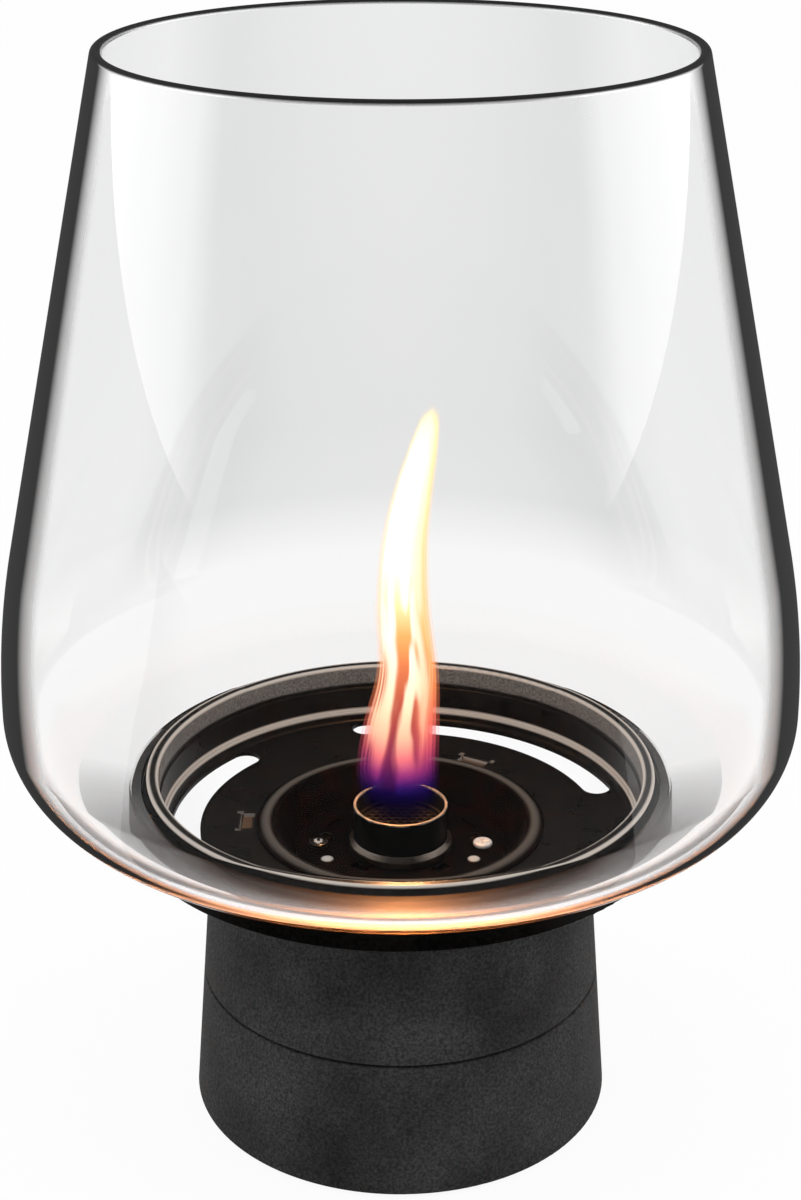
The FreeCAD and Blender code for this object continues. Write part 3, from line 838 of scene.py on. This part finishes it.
@dataclass(frozen=True)
class FlameGas:
    """Burning gas: dark blue at the tube, then violet, red and orange streaks round a pale core.

    Attributes:
        name: Name of the finish.
        foot_level: Height where the flame starts.
        length: Length of the flame.
    """

    name: str
    foot_level: float
    length: float

    STRAND_COUNT = 2.3
    GLOW = 1.5
    STREAKS = (0.46, 0.56)
    SKIN = (0.05, 0.24)
    THICKER_SIDE = ((0.2, 0.0), (0.9, 0.16))
    DENSITY = ((0.04, 0.25), (0.22, 0.8))
    TIP = ((0.9, 1.0), (1.0, 0.5))
    VEIL = ((0.0, 0.12), (0.36, 1.0))
    BRIGHT = (
        (0.0, (0.0, 0.0, 0.004)),
        (0.065, (0.0005, 0.0003, 0.009)),
        (0.1, (0.016, 0.005, 0.11)),
        (0.13, (0.3, 0.035, 0.16)),
        (0.17, (0.82, 0.19, 0.19)),
        (0.22, (1.0, 0.54, 0.34)),
        (0.28, (1.0, 0.8, 0.52)),
        (0.35, (1.0, 0.93, 0.7)),
        (0.44, (1.0, 0.99, 0.88)),
        (0.56, (1.0, 1.0, 1.0)),
        (0.88, (1.0, 1.0, 0.99)),
        (1.0, (1.0, 0.93, 0.52)),
    )
    DARK = (
        (0.0, (0.0, 0.0, 0.001)),
        (0.07, (0.001, 0.0, 0.01)),
        (0.12, (0.008, 0.002, 0.05)),
        (0.17, (0.045, 0.003, 0.045)),
        (0.23, (0.12, 0.007, 0.032)),
        (0.31, (0.26, 0.022, 0.032)),
        (0.39, (0.52, 0.095, 0.04)),
        (0.47, (0.88, 0.34, 0.1)),
        (0.54, (1.0, 0.78, 0.4)),
        (0.62, (1.0, 0.98, 0.9)),
        (0.88, (1.0, 1.0, 0.99)),
        (1.0, (1.0, 0.93, 0.52)),
    )
    EDGE = (
        (0.0, (0.0, 0.0, 0.005)),
        (0.05, (0.0005, 0.0003, 0.014)),
        (0.09, (0.02, 0.005, 0.12)),
        (0.13, (0.28, 0.024, 0.12)),
        (0.18, (0.6, 0.07, 0.11)),
        (0.25, (0.82, 0.15, 0.09)),
        (0.33, (0.96, 0.28, 0.1)),
        (0.45, (1.0, 0.42, 0.14)),
        (0.65, (1.0, 0.54, 0.19)),
        (0.85, (1.0, 0.68, 0.28)),
        (1.0, (1.0, 0.78, 0.3)),
    )

    def material(self) -> bpy.types.Material:
        """Make the material of this gas.

        Returns:
            The material.
        """
        material, graph, shader = principled(self.name)
        rise = graph.rise(graph.height(), self.foot_level, self.foot_level + self.length)
        core = graph.mark("core")
        around = graph.mark("around", "Vector")
        strands = graph.add("TexNoise", {"Vector": around, "Scale": self.STRAND_COUNT, "Detail": 1.0})
        streak = graph.rise(strands.outputs["Fac"], *self.STREAKS)
        inside = graph.blend(streak, graph.ramp(rise, self.DARK), graph.ramp(rise, self.BRIGHT))
        thinner = graph.span(graph.along("X", around), *self.THICKER_SIDE)
        within = graph.rise(graph.sums("SUBTRACT", core, thinner), *self.SKIN)
        density = graph.span(rise, *self.DENSITY)
        veil = graph.product(graph.span(core, *self.VEIL), graph.span(rise, *self.TIP))
        feeds = {
            "Base Color": (0.0, 0.0, 0.0),
            "Specular IOR Level": 0.0,
            "Roughness": 1.0,
            "Emission Color": graph.blend(within, graph.ramp(rise, self.EDGE), inside),
            "Emission Strength": self.GLOW,
            "Alpha": graph.product(density, veil),
        }
        graph.fill(shader, feeds)
        material.cycles.emission_sampling = "NONE"
        return material


def dress(material: bpy.types.Material, *nodes: str) -> None:
    """Give CAD nodes their finish.

    Args:
        material: Material of the finish.
        nodes: Names of the nodes.
    """
    for node in nodes:
        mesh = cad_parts[node].data
        mesh.materials.clear()
        mesh.materials.append(material)
        LOG.info("dressed %s in %s", node, material.name)


def new_object(name: str, data: bpy.types.ID) -> bpy.types.Object:
    """Put a new object into the scene.

    Args:
        name: Name of the object.
        data: Its mesh, lamp or camera.

    Returns:
        The object.
    """
    thing = bpy.data.objects.new(name, data)
    bpy.context.scene.collection.objects.link(thing)
    return thing


def new_piece(name: str, places: Sequence[Vector], faces: Sequence[Sequence[int]]) -> bpy.types.Object:
    """Make a smooth mesh piece.

    Args:
        name: Name of the piece.
        places: Places of its vertices.
        faces: Vertices of each face, anticlockwise as seen from outside.

    Returns:
        The piece.
    """
    mesh = bpy.data.meshes.new(name)
    mesh.from_pydata(places, [], faces)
    mesh.shade_smooth()
    return new_object(name, mesh)


def arc(centre: Place, radius: float, start: float, finish: float, steps: int) -> list[Place]:
    """Places along an arc.

    Args:
        centre: Centre of the arc.
        radius: Radius of the arc.
        start: Angle of the first place, in radians.
        finish: Angle of the last place, in radians.
        steps: Number of steps along it.

    Returns:
        The places, with both ends.
    """
    angles = [start + (finish - start) * step / steps for step in range(steps + 1)]
    return [(centre[0] + radius * math.cos(a), centre[1] + radius * math.sin(a)) for a in angles]


def touch(centre: Place, radius: float, place: Place, side: int) -> float:
    """Angle on a circle where a line from a place outside touches it.

    Args:
        centre: Centre of the circle.
        radius: Radius of the circle.
        place: Place outside the circle.
        side: Side of the line from the place to the centre, 1 or -1.

    Returns:
        The angle in radians.
    """
    across = place[0] - centre[0]
    up = place[1] - centre[1]
    return math.atan2(up, across) + side * math.acos(radius / math.hypot(across, up))


def rounded(before: Place, corner: Place, after: Place, radius: float, steps: int = 4) -> list[Place]:
    """Places along a rounded corner.

    Args:
        before: Place before the corner.
        corner: The sharp corner.
        after: Place after the corner.
        radius: Radius of the rounding.
        steps: Number of steps along it.

    Returns:
        The places.
    """
    here = Vector(corner)
    back = (Vector(before) - here).normalized()
    forth = (Vector(after) - here).normalized()
    half = back.angle(forth) / 2
    reach = radius / math.tan(half)
    centre = here + (back + forth).normalized() * (radius / math.sin(half))
    first = here + back * reach - centre
    last = here + forth * reach - centre
    shares = [step / steps for step in range(steps + 1)]
    return [tuple(centre + first.lerp(last, share).normalized() * radius) for share in shares]


@dataclass
class GlassShade:
    """Blown glass that bellies out, turns under and stands on the ledge of the dish."""

    height: float = 0.206
    wall: float = 0.003
    rim_radius: float = 0.0776
    foot_radius: float = 0.077
    hole_radius: float = 0.0733
    foot_rise: float = 0.0021
    foot_rounding: float = 0.0006
    shoulder_arc: float = 0.2159
    bowl_arc: float = 0.0253
    bowl_lift: float = 0.003
    # Depth of the painted dark rim line, then the lifts above the foot where the painted dark edge and the
    # painted far-wall shade start.
    rim_line: float = 0.0014
    edge_lift: float = 0.005
    far_shade_lift: float = 0.028
    segments: int = 256
    bowl_steps: int = 40
    shoulder_steps: int = 24
    rim_steps: int = 16
    turn_steps: int = 16
    wall_count: int = 0
    shade: bpy.types.Object | None = None
    foot: bpy.types.Object | None = None

    def profile(self) -> list[Place]:
        """Closed outline of the glass, as radii and heights.

        Returns:
            The places along it: up the outside of the wall, down its inside and round the foot.
        """
        low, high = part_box("glass_shade")
        foot_level = low.z
        belly_radius = high.x
        belly_level = foot_level + self.bowl_arc + self.bowl_lift
        half_wall = self.wall / 2
        bowl = (belly_radius - self.bowl_arc, belly_level)
        shoulder = (belly_radius - self.shoulder_arc, belly_level)
        rim = (self.rim_radius, foot_level + self.height - half_wall)
        foot = (self.foot_radius, foot_level)
        hole_low = (self.hole_radius, foot_level)
        hole_top = (self.hole_radius, foot_level + self.foot_rise)
        inner_bowl = self.bowl_arc - self.wall
        inner_shoulder = self.shoulder_arc - self.wall
        bowl_angle = touch(bowl, self.bowl_arc, foot, 1)
        inner_angle = touch(bowl, inner_bowl, hole_top, 1)
        cone_angle = touch(shoulder, self.shoulder_arc, rim, -1)
        outer_bowl = arc(bowl, self.bowl_arc, bowl_angle, 0, self.bowl_steps)
        inside_bowl = arc(bowl, inner_bowl, 0, inner_angle, self.bowl_steps)
        crown = (rim[0] - half_wall * math.cos(cone_angle), rim[1] - half_wall * math.sin(cone_angle))
        split = self.turn_steps
        line = outer_bowl[split:]
        line += arc(shoulder, self.shoulder_arc, 0, cone_angle, self.shoulder_steps)[1:]
        line += arc(crown, half_wall, cone_angle, cone_angle + math.pi, self.rim_steps)
        line += arc(shoulder, inner_shoulder, cone_angle, 0, self.shoulder_steps)[:-1]
        line += inside_bowl[:-split]
        self.wall_count = len(line)
        line += inside_bowl[-split:]
        line += rounded(inside_bowl[-1], hole_top, hole_low, self.foot_rounding)
        line += rounded(hole_top, hole_low, foot, self.foot_rounding)
        line += rounded(hole_low, foot, outer_bowl[0], self.foot_rounding)
        line += outer_bowl[:split]
        return line

    def turned(self, name: str, line: Sequence[Place], first: int, last: int) -> bpy.types.Object:
        """Turn part of the outline round the upright axis.

        Args:
            name: Name of the piece.
            line: Radii and heights along the whole outline.
            first: Number of the part's first place.
            last: Number of its last place.

        Returns:
            The piece.
        """
        count = last - first + 1
        places = []
        normals = []
        faces = []
        for segment in range(self.segments):
            angle = 2 * math.pi * segment / self.segments
            following = (segment + 1) % self.segments
            for index in range(first, last + 1):
                before = line[index - 1]
                radius, level = line[index % len(line)]
                after = line[(index + 1) % len(line)]
                slope = Vector((after[1] - before[1], before[0] - after[0])).normalized()
                places.append(Vector((radius * math.cos(angle), radius * math.sin(angle), level)))
                normals.append(Vector((slope.x * math.cos(angle), slope.x * math.sin(angle), slope.y)))
            for row in range(count - 1):
                corners = ((segment, row), (following, row), (following, row + 1), (segment, row + 1))
                faces.append([column * count + index for column, index in corners])
        piece = new_piece(name, places, faces)
        piece.data.normals_split_custom_set_from_vertices(normals)
        return piece

    def mark(self, piece: bpy.types.Object, name: str, values: Sequence[float]) -> None:
        """Mark a turned piece with a value for each place along its outline."""
        layer = piece.data.attributes.new(name, "FLOAT", "POINT")
        layer.data.foreach_set("value", list(values) * self.segments)

    def build(self) -> None:
        """Make the wall, with its outer side marked, and the foot, with the turn of the bowl marked."""
        line = self.profile()
        count = self.wall_count
        self.shade = self.turned("glass_wall", line, 0, count - 1)
        crown = max(range(count), key=lambda index: line[index][1])
        self.mark(self.shade, "outer", [1.0 if index <= crown else 0.0 for index in range(count)])
        self.foot = self.turned("glass_foot", line, count - 1, len(line))
        last = len(line) - count + 1
        turn = [1.0 if min(row, last - row) < self.turn_steps else 0.0 for row in range(last + 1)]
        self.mark(self.foot, "turn", turn)

    def dress(self) -> None:
        """Give the wall and the foot their glass and put them in the node's place."""
        low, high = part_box("glass_shade")
        # Painted dark reflection at the edges and rim, and painted shade on the far wall.
        glass = ClearGlass(
            name="clear_glass",
            tint=(0.74, 0.743, 0.747),
            edge=(0.068, 0.068, 0.068),
            edge_slants=(0.595, 0.735),
            rim_level=high.z - self.rim_line,
            bowl_level=low.z + self.foot_rise + self.edge_lift,
            far_shade_level=low.z + self.far_shade_lift,
        )
        bloom = FootGlass("foot_glass")
        for piece, finish in ((self.shade, glass), (self.foot, bloom)):
            piece.data.materials.append(finish.material())
            piece.visible_shadow = False
            piece.visible_diffuse = False
            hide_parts("glass_shade")
            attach(piece, Body.GLASS.value)
            LOG.info("built %s", piece.name)


@dataclass
class Base:
    """Weighted base: two castings, their seam ring, the cover underneath and what is inside."""

    grain_size: float = 0.0008
    cloud_size: float = 0.03

    def dress(self) -> None:
        """Give the base's pieces their finishes."""
        casting = Coating(
            name="matte_black",
            colour=(0.0315, 0.0317, 0.0320),
            cloud_size=self.cloud_size,
            cloud_share=0.4,
            grain_size=self.grain_size,
            grain_share=0.42,
            grain_depth=0.00008,
            roughness=(0.6, 0.8),
            gloss=0.03,
        )
        cover = Coating(name="cover_black", colour=(0.03, 0.03, 0.031), roughness=(0.4, 0.55))
        dress(casting.material(), "base_foot", "base_neck")
        dress(cover.material(), "bottom_cover")
        dress(BareMetal("ring_aluminium", (0.02, 0.02, 0.02)).material(), "seam_ring")
        dress(Rubber("black_rubber", (0.02, 0.02, 0.02), (0.05, 0.05, 0.048)).material(), "foot_ring")
        raw = BareMetal("raw_steel", (0.5, 0.5, 0.49), roughness=(0.35, 0.55))
        dress(raw.material(), "ballast_ring", "canister_well", "canister_shell", "canister_lid")
        bright = BareMetal("bright_steel", (0.74, 0.73, 0.71), roughness=(0.15, 0.3))
        dress(bright.material(), "tie_screw", "tie_washer", "well_nut", "screw_nuts")
        dress(Fibre("grey_felt", (0.2, 0.2, 0.2)).material(), "well_pad")
        fibre = Fibre("pale_fibre", (0.75, 0.72, 0.66))
        dress(fibre.material(), "head_gasket", "fuel_wool")
        dress(Fibre("graphite_fibre", (0.02, 0.019, 0.018)).material(), "heat_gasket")


@dataclass
class Dish:
    """Burner dish with its seat ring and gasket."""

    grain_size: float = 0.0011
    wall_radius: float = 0.0686
    lip_radius: float = 0.072
    lower_radius: float = 0.067
    step_rise: float = 0.0034
    step_width: float = 0.0011
    cup_dome: float = 0.0015
    band_depth: float = 0.0058
    edge_inset: float = 0.0002
    lip_inset: float = 0.0003
    cut_inset: float = 0.008

    def dress(self) -> None:
        """Give the dish's pieces their finishes."""
        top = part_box("burner_dish")[1].z
        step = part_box("burner_cup")[1].z - self.cup_dome + self.step_rise
        inset = self.edge_inset
        enamel = Coating(
            name="dish_black",
            colour=(0.009, 0.0082, 0.0076),
            cloud_size=0.012,
            grain_size=self.grain_size,
            grain_share=0.5,
            grain_depth=0.00004,
            roughness=(0.24, 0.36),
            gloss=0.05,
            warm=(0.014, 0.009, 0.007),
        )
        # Painted highlights along the wall top, the lip and the two edges of the step.
        rings = (
            (self.wall_radius + inset, top - inset),
            (self.lip_radius - self.lip_inset, top - inset),
            (self.lower_radius, step - inset),
            (self.lower_radius + self.step_width, step + inset),
        )
        # Painted sheen on the upper inner wall, painted highlights on its edges, and pale cut edges.
        painted_sheen = replace(
            enamel,
            highlight_rings=rings,
            sheen_levels=(top - self.band_depth, top - self.lip_inset),
            sheen_radius=self.wall_radius + 2 * inset,
            cut_radius=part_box("base_neck")[1].x - self.cut_inset,
            highlight_colour=(0.52, 0.47, 0.42),
            highlight_width=0.0006,
        )
        dress(painted_sheen.material(), "burner_dish")
        ring = replace(enamel, name="ring_black", colour=(0.003, 0.0027, 0.0025), gloss=0.04, warm=None)
        dress(ring.material(), "seat_ring")
        silicone = Rubber("clear_silicone", (0.06, 0.06, 0.06), (0.10, 0.10, 0.10), 0.5)
        dress(silicone.material(), "glass_gasket")


@dataclass
class Burner:
    """Lift-out burner: cup, head plate, tube, gauze and canister."""

    rim_depth: float = 0.0007
    pip_rise: float = 0.0004
    lip_width: float = 0.005

    def dress(self) -> None:
        """Give the burner's visible pieces their finishes."""
        cup = Coating(
            name="burner_black",
            colour=(0.0025, 0.0020, 0.0018),
            cloud_size=0.01,
            grain_size=0.0005,
            grain_depth=0.00003,
            roughness=(0.28, 0.42),
            gloss=0.02,
            warm=(0.010, 0.003, 0.002),
        )
        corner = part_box("burner_cup")[1]
        crown = (corner.x - self.lip_width / 2, corner.z)
        # Painted highlight along the crown of the cup's domed lip.
        domed = replace(cup, highlight_colour=(0.09, 0.077, 0.066), highlight_rings=(crown,), highlight_width=0.0012)
        dress(domed.material(), "burner_cup")
        # Painted highlight on the tops of the plate's pips on the side of -Y.
        plate = replace(cup, name="plate_black", highlight_level=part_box("head_plate")[1].z - self.pip_rise)
        dress(plate.material(), "head_plate")
        low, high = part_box("head_screws")
        radius = (high.y - low.y) / 2
        # The left screw gets painted shade, save a small spot at its centre.
        zinc = BareMetal(
            name="zinc_plate",
            colour=(0.9, 0.89, 0.87),
            roughness=(0.2, 0.35),
            stain_share=0.1,
            metallic=0.3,
            lit_place=(low.x + radius, (low.y + high.y) / 2),
        )
        dress(zinc.material(), "head_screws")
        tube = TubeCoating(
            name="tube_black",
            colour=(0.004, 0.0036, 0.0033),
            metal=(0.62, 0.52, 0.42),
            rim_level=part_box("burner_tube")[1].z,
            rim_depth=self.rim_depth,
        )
        dress(tube.material(), "burner_tube")
        collar = BareMetal("blued_steel", (0.30, 0.25, 0.21), roughness=(0.25, 0.4), stain_share=0.5)
        dress(collar.material(), "tube_collar")
        gauze = BareMetal("gauze_steel", (0.02, 0.018, 0.017), roughness=(0.4, 0.6), stain_share=0.6)
        dress(gauze.material(), "flame_gauze", "gauze_ring")
        dress(Fibre("charred_fibre", (0.012, 0.011, 0.010)).material(), "wick_core")


@dataclass
class Flame:
    """Flame on the burner tube, as nested shells of gas that thicken towards the core."""

    foot_drop: float = 0.002
    length: float = 0.1213
    shell_count: int = 9
    core_thinning: float = 0.72
    core_shortening: float = 0.08
    rings: int = 64
    sides: int = 32
    strand_length: float = 2.2
    lamp_power: float = 0.024
    lamp_size: float = 0.004
    lamp_place: Place = (0.007, -0.004)
    lamp_rise: float = 0.2
    glint_power: float = 0.8
    glint_place: Place = (0.001, 0.0)
    glint_rise: float = 0.45
    crest_power: float = 0.65
    crest_place: Place = (0.004, 0.0)
    crest_rise: float = 0.85
    bloom_power: float = 34.0
    bloom_colour: Colour = (1.0, 0.34, 0.09)
    lamp_colour: Colour = (1.0, 0.46, 0.18)
    lean: tuple[Place, ...] = (
        (0.0, 0.0),
        (0.11, -0.0008),
        (0.22, 0.0002),
        (0.36, 0.0020),
        (0.52, 0.0007),
        (0.68, 0.0012),
        (0.80, 0.0034),
        (0.91, 0.0063),
        (1.0, 0.0087),
    )
    half_width: tuple[Place, ...] = (
        (0.0, 0.0112),
        (0.05, 0.0117),
        (0.12, 0.0117),
        (0.22, 0.0108),
        (0.36, 0.0087),
        (0.52, 0.0077),
        (0.68, 0.0066),
        (0.80, 0.0056),
        (0.91, 0.0040),
        (0.965, 0.0029),
        (0.99, 0.0016),
        (1.0, 0.0),
    )

    @staticmethod
    def along(stops: Sequence[Place], share: float) -> float:
        """Smooth value between stops.

        Args:
            stops: Shares of the length and their values.
            share: Share of the length.

        Returns:
            The value there.
        """
        last = len(stops) - 1
        index = max(i for i in range(last) if stops[i][0] <= share)
        (start, first), (finish, second) = stops[index], stops[index + 1]
        before = stops[max(index - 1, 0)]
        after = stops[min(index + 2, last)]
        width = finish - start
        slope_in = (second - before[1]) / (finish - before[0]) * width
        slope_out = (after[1] - first) / (after[0] - start) * width
        t = (share - start) / width
        held = (2 * t ** 3 - 3 * t ** 2 + 1) * first + (3 * t ** 2 - 2 * t ** 3) * second
        return held + (t ** 3 - 2 * t ** 2 + t) * slope_in + (t ** 3 - t ** 2) * slope_out

    def foot_level(self) -> float:
        """Height where the flame starts, inside the tube."""
        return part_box("burner_tube")[1].z - self.foot_drop

    def build(self) -> bpy.types.Object:
        """Make the nested shells.

        Returns:
            The flame.
        """
        foot = self.foot_level()
        places = []
        faces = []
        cores = []
        around = []
        for shell in range(self.shell_count):
            core = shell / (self.shell_count - 1)
            size = 1.0 - self.core_thinning * core
            reach = 1.0 - self.core_shortening * core
            start = len(places)
            for ring in range(self.rings + 1):
                share = ring / self.rings
                centre = self.along(self.lean, share * reach)
                radius = max(self.along(self.half_width, share), 0.0) * size
                for side in range(self.sides):
                    angle = 2 * math.pi * side / self.sides
                    across = Vector((centre + radius * math.cos(angle), radius * math.sin(angle), 0.0))
                    places.append(across + Vector((0.0, 0.0, foot + self.length * share * reach)))
                    cores.append(core)
                    around += [math.cos(angle), math.sin(angle), share * self.strand_length]
            for ring in range(self.rings):
                for side in range(self.sides):
                    ahead = (side + 1) % self.sides
                    row = start + ring * self.sides
                    faces.append((row + side, row + ahead, row + ahead + self.sides, row + side + self.sides))
        flame = new_piece("flame", places, faces)
        layer = flame.data.attributes.new("core", "FLOAT", "POINT")
        layer.data.foreach_set("value", cores)
        layer = flame.data.attributes.new("around", "FLOAT_VECTOR", "POINT")
        layer.data.foreach_set("vector", around)
        return flame

    def dress(self, flame: bpy.types.Object) -> None:
        """Give the flame its gas, and let it ride on the burner.

        Args:
            flame: The flame.
        """
        flame.data.materials.append(FlameGas("flame_gas", self.foot_level(), self.length).material())
        flame.visible_shadow = False
        flame.visible_diffuse = False
        flame.visible_glossy = False
        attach(flame, Body.BURNER.value)
        LOG.info("built %s", flame.name)

    def light(self, bloomed: Sequence[bpy.types.Object]) -> None:
        """Let the flame light what is round it, with a soft lamp and small ones for the glints.

        Args:
            bloomed: Glass pieces whose bloom catches the flame.
        """
        soft = self.lamp("flame_light", self.lamp_power, self.lamp_place, self.lamp_rise, self.lamp_size)
        soft.visible_glossy = False
        glint = self.lamp("flame_glint", self.glint_power, self.glint_place, self.glint_rise)
        crest = self.lamp("crest_glint", self.crest_power, self.crest_place, self.crest_rise)
        bloom = self.lamp("foot_glint", self.bloom_power, self.glint_place, self.glint_rise)
        bloom.data.color = self.bloom_colour
        nodes = list(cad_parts.values())
        for lamp, pieces in ((glint, nodes), (crest, nodes), (bloom, bloomed)):
            lamp.visible_diffuse = False
            lit = bpy.data.collections.new(lamp.name)
            for piece in pieces:
                lit.objects.link(piece)
            lamp.light_linking.receiver_collection = lit

    def lamp(self, name: str, power: float, place: Place, rise: float, size: float = 0.0) -> bpy.types.Object:
        """Make one lamp of the flame.

        Args:
            name: Name of the lamp.
            power: Power in watts.
            place: X and Y of the lamp.
            rise: Height of the lamp in the flame, as a share of its length.
            size: Radius of the lamp.

        Returns:
            The lamp.
        """
        light = bpy.data.lights.new(name, "POINT")
        light.energy = power
        light.color = self.lamp_colour
        light.shadow_soft_size = size
        lamp = new_object(name, light)
        lamp.location = (*place, self.foot_level() + self.length * rise)
        lamp.visible_camera = False
        lamp.visible_transmission = False
        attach(lamp, Body.BURNER.value)
        LOG.info("lit %s", name)
        return lamp


@dataclass
class Softbox:
    """Tall soft lamp beside the object."""

    name: str
    place: Point
    power: float
    aim: Point = (0.0, 0.0, 0.2)
    width: float = 0.75
    height: float = 1.3

    def build(self) -> None:
        """Make the lamp and turn it to what it lights."""
        light = bpy.data.lights.new(self.name, "AREA")
        light.shape = "RECTANGLE"
        light.size = self.width
        light.size_y = self.height
        light.energy = self.power
        lamp = new_object(self.name, light)
        lamp.location = self.place
        away = Vector(self.place) - Vector(self.aim)
        lamp.rotation_euler = away.to_track_quat("Z", "Y").to_euler()
        lamp.visible_camera = False
        lamp.visible_transmission = False
        lamp.visible_glossy = False
        LOG.info("lit %s", self.name)


@dataclass
class Studio:
    """Plain pale floor, white surroundings and soft light."""

    floor_reach: float = 20.0
    floor_drop: float = 0.0002
    floor_colour: Colour = (0.9, 0.9, 0.9)
    floor_cloud: float = 0.4
    white_share: float = 0.93
    flag_angles: Place = (-71.0, 57.0)
    flag_radii: Place = (0.14, 4.0)
    flag_lift: float = 0.0005
    flag_steps: int = 24
    flag_cloud: float = 0.05
    dark_level: float = 0.07
    dim_level: float = 0.3
    side_level: float = 3.2
    ambient: Place = (0.7, 1.0)
    horizon_top: Place = (0.18, 0.40)
    dark_front: Place = (-0.62, -0.42)
    dim_front: Place = (-0.60, -0.30)
    side_front: Place = (-0.66, -0.42)
    side_back: Place = (0.55, 0.85)
    side_top: Place = (0.55, 0.85)
    clear_layers: int = 48
    softboxes: tuple[Softbox, ...] = field(
        default_factory=lambda: (
            Softbox("left_softbox", (-1.15, -0.15, 0.55), 3.5),
            Softbox("right_softbox", (1.15, -0.15, 0.55), 4.5),
        )
    )

    def floor(self) -> None:
        """Make the floor, which shows white to the camera and keeps a soft shadow."""
        reach = self.floor_reach
        corners = [(-reach, -reach), (reach, -reach), (reach, reach), (-reach, reach)]
        places = [Vector((x, y, -self.floor_drop)) for x, y in corners]
        floor = new_piece("floor", places, [(0, 1, 2, 3)])
        material, graph = blank("floor_white")
        stops = ((NOISE_LOW, scaled(self.floor_colour, 0.98)), (NOISE_HIGH, self.floor_colour))
        tone = graph.ramp(graph.noise(self.floor_cloud, 3.0), stops)
        matte = graph.add("BsdfDiffuse", {"Color": tone}).outputs["BSDF"]
        white = graph.add("Emission", {"Strength": 1.0}).outputs["Emission"]
        share = graph.product(graph.rays(Ray.CAMERA, Ray.GLOSSY, Ray.TRANSMISSION), self.white_share)
        mixed = graph.add("MixShader", {"Fac": share, "Shader": matte, "Shader_001": white})
        graph.add("OutputMaterial", {"Surface": mixed.outputs["Shader"]})
        floor.data.materials.append(material)

    def flag(self) -> None:
        """Lay a black card on the floor before the object, which only reflections see."""
        left, right = self.flag_angles
        places = []
        for step in range(self.flag_steps + 1):
            angle = math.radians(left + (right - left) * step / self.flag_steps)
            for radius in self.flag_radii:
                places.append(Vector((radius * math.sin(angle), -radius * math.cos(angle), self.flag_lift)))
        faces = [(2 * step, 2 * step + 1, 2 * step + 3, 2 * step + 2) for step in range(self.flag_steps)]
        card = new_piece("black_card", places, faces)
        material, graph, shader = principled("card_black")
        stops = ((NOISE_LOW, (0.01, 0.01, 0.01)), (NOISE_HIGH, (0.02, 0.02, 0.02)))
        tone = graph.ramp(graph.noise(self.flag_cloud, 3.0), stops)
        graph.fill(shader, {"Base Color": tone, "Roughness": 1.0, "Specular IOR Level": 0.0})
        card.data.materials.append(material)
        card.visible_camera = False
        card.visible_diffuse = False
        card.visible_transmission = False
        card.visible_shadow = False

    def surroundings(self) -> None:
        """Make the world: white to the camera, and a soft studio in light and reflections."""
        world = bpy.data.worlds.new("studio")
        bpy.context.scene.world = world
        world.use_nodes = True
        graph = NodeGraph(world.node_tree)
        direction = graph.add("TexCoord").outputs["Generated"]
        up = graph.along("Z", direction)
        heading = graph.add("VectorMath", {"Vector": graph.flat(direction)}, operation="NORMALIZE")
        back = graph.along("Y", heading.outputs["Vector"])
        horizon = graph.span(up, (self.horizon_top[0], 1.0), (self.horizon_top[1], self.dark_level))
        ahead = graph.span(back, (self.dark_front[0], self.dark_level), (self.dark_front[1], 1.0))
        beyond = graph.span(back, (self.dim_front[0], self.dim_level), (self.dim_front[1], 1.0))
        side = graph.product(graph.rise(back, *self.side_front), graph.fall(back, *self.side_back))
        tall = graph.span(up, (self.side_top[0], self.side_level), (self.side_top[1], 0.0))
        sides = graph.product(side, tall)
        mirrored = graph.sums("MAXIMUM", graph.product(horizon, ahead), sides)
        through = graph.sums("MAXIMUM", graph.product(horizon, beyond), graph.sums("MINIMUM", sides, 1.0))
        ambient = graph.span(up, (0.0, self.ambient[0]), (1.0, self.ambient[1]))
        level = graph.pick(graph.rays(Ray.GLOSSY), ambient, mirrored)
        level = graph.pick(graph.rays(Ray.TRANSMISSION), level, through)
        level = graph.sums("MAXIMUM", level, graph.rays(Ray.CAMERA))
        sky = graph.add("Background", {"Color": (1.0, 1.0, 1.0), "Strength": level})
        graph.add("OutputWorld", {"Surface": sky.outputs["Background"]})

    def build(self) -> None:
        """Make the floor, the card, the world and the lamps."""
        self.floor()
        self.flag()
        self.surroundings()
        for softbox in self.softboxes:
            softbox.build()
        scene = bpy.context.scene
        scene.view_settings.view_transform = "Standard"
        scene.cycles.transparent_max_bounces = self.clear_layers
        LOG.info("studio is ready")


@dataclass
class PhotoCamera:
    """Camera at the photograph's viewing angle."""

    distance: float = 0.5907
    height: float = 0.4011
    pitch: float = 22.66
    lens: float = 69.68
    sensor: float = 36.0

    def build(self) -> None:
        """Make the camera and let the scene use it."""
        data = bpy.data.cameras.new("camera")
        data.sensor_fit = "VERTICAL"
        data.sensor_height = self.sensor
        data.lens = self.lens
        camera = new_object("camera", data)
        camera.location = (0.0, -self.distance, self.height)
        camera.rotation_euler = (math.radians(90.0 - self.pitch), 0.0, 0.0)
        bpy.context.scene.camera = camera
        LOG.info("camera is ready")


def main() -> None:
    """Build the fireplace's looks, piece by piece."""
    logging.basicConfig(level=logging.INFO, format="%(name)s: %(message)s")
    PhotoCamera().build()
    Studio().build()
    Base().dress()
    Dish().dress()
    Burner().dress()
    glass = GlassShade()
    glass.build()
    glass.dress()
    flame = Flame()
    flame.dress(flame.build())
    flame.light([glass.foot])


if __name__ == "__main__":
    main()
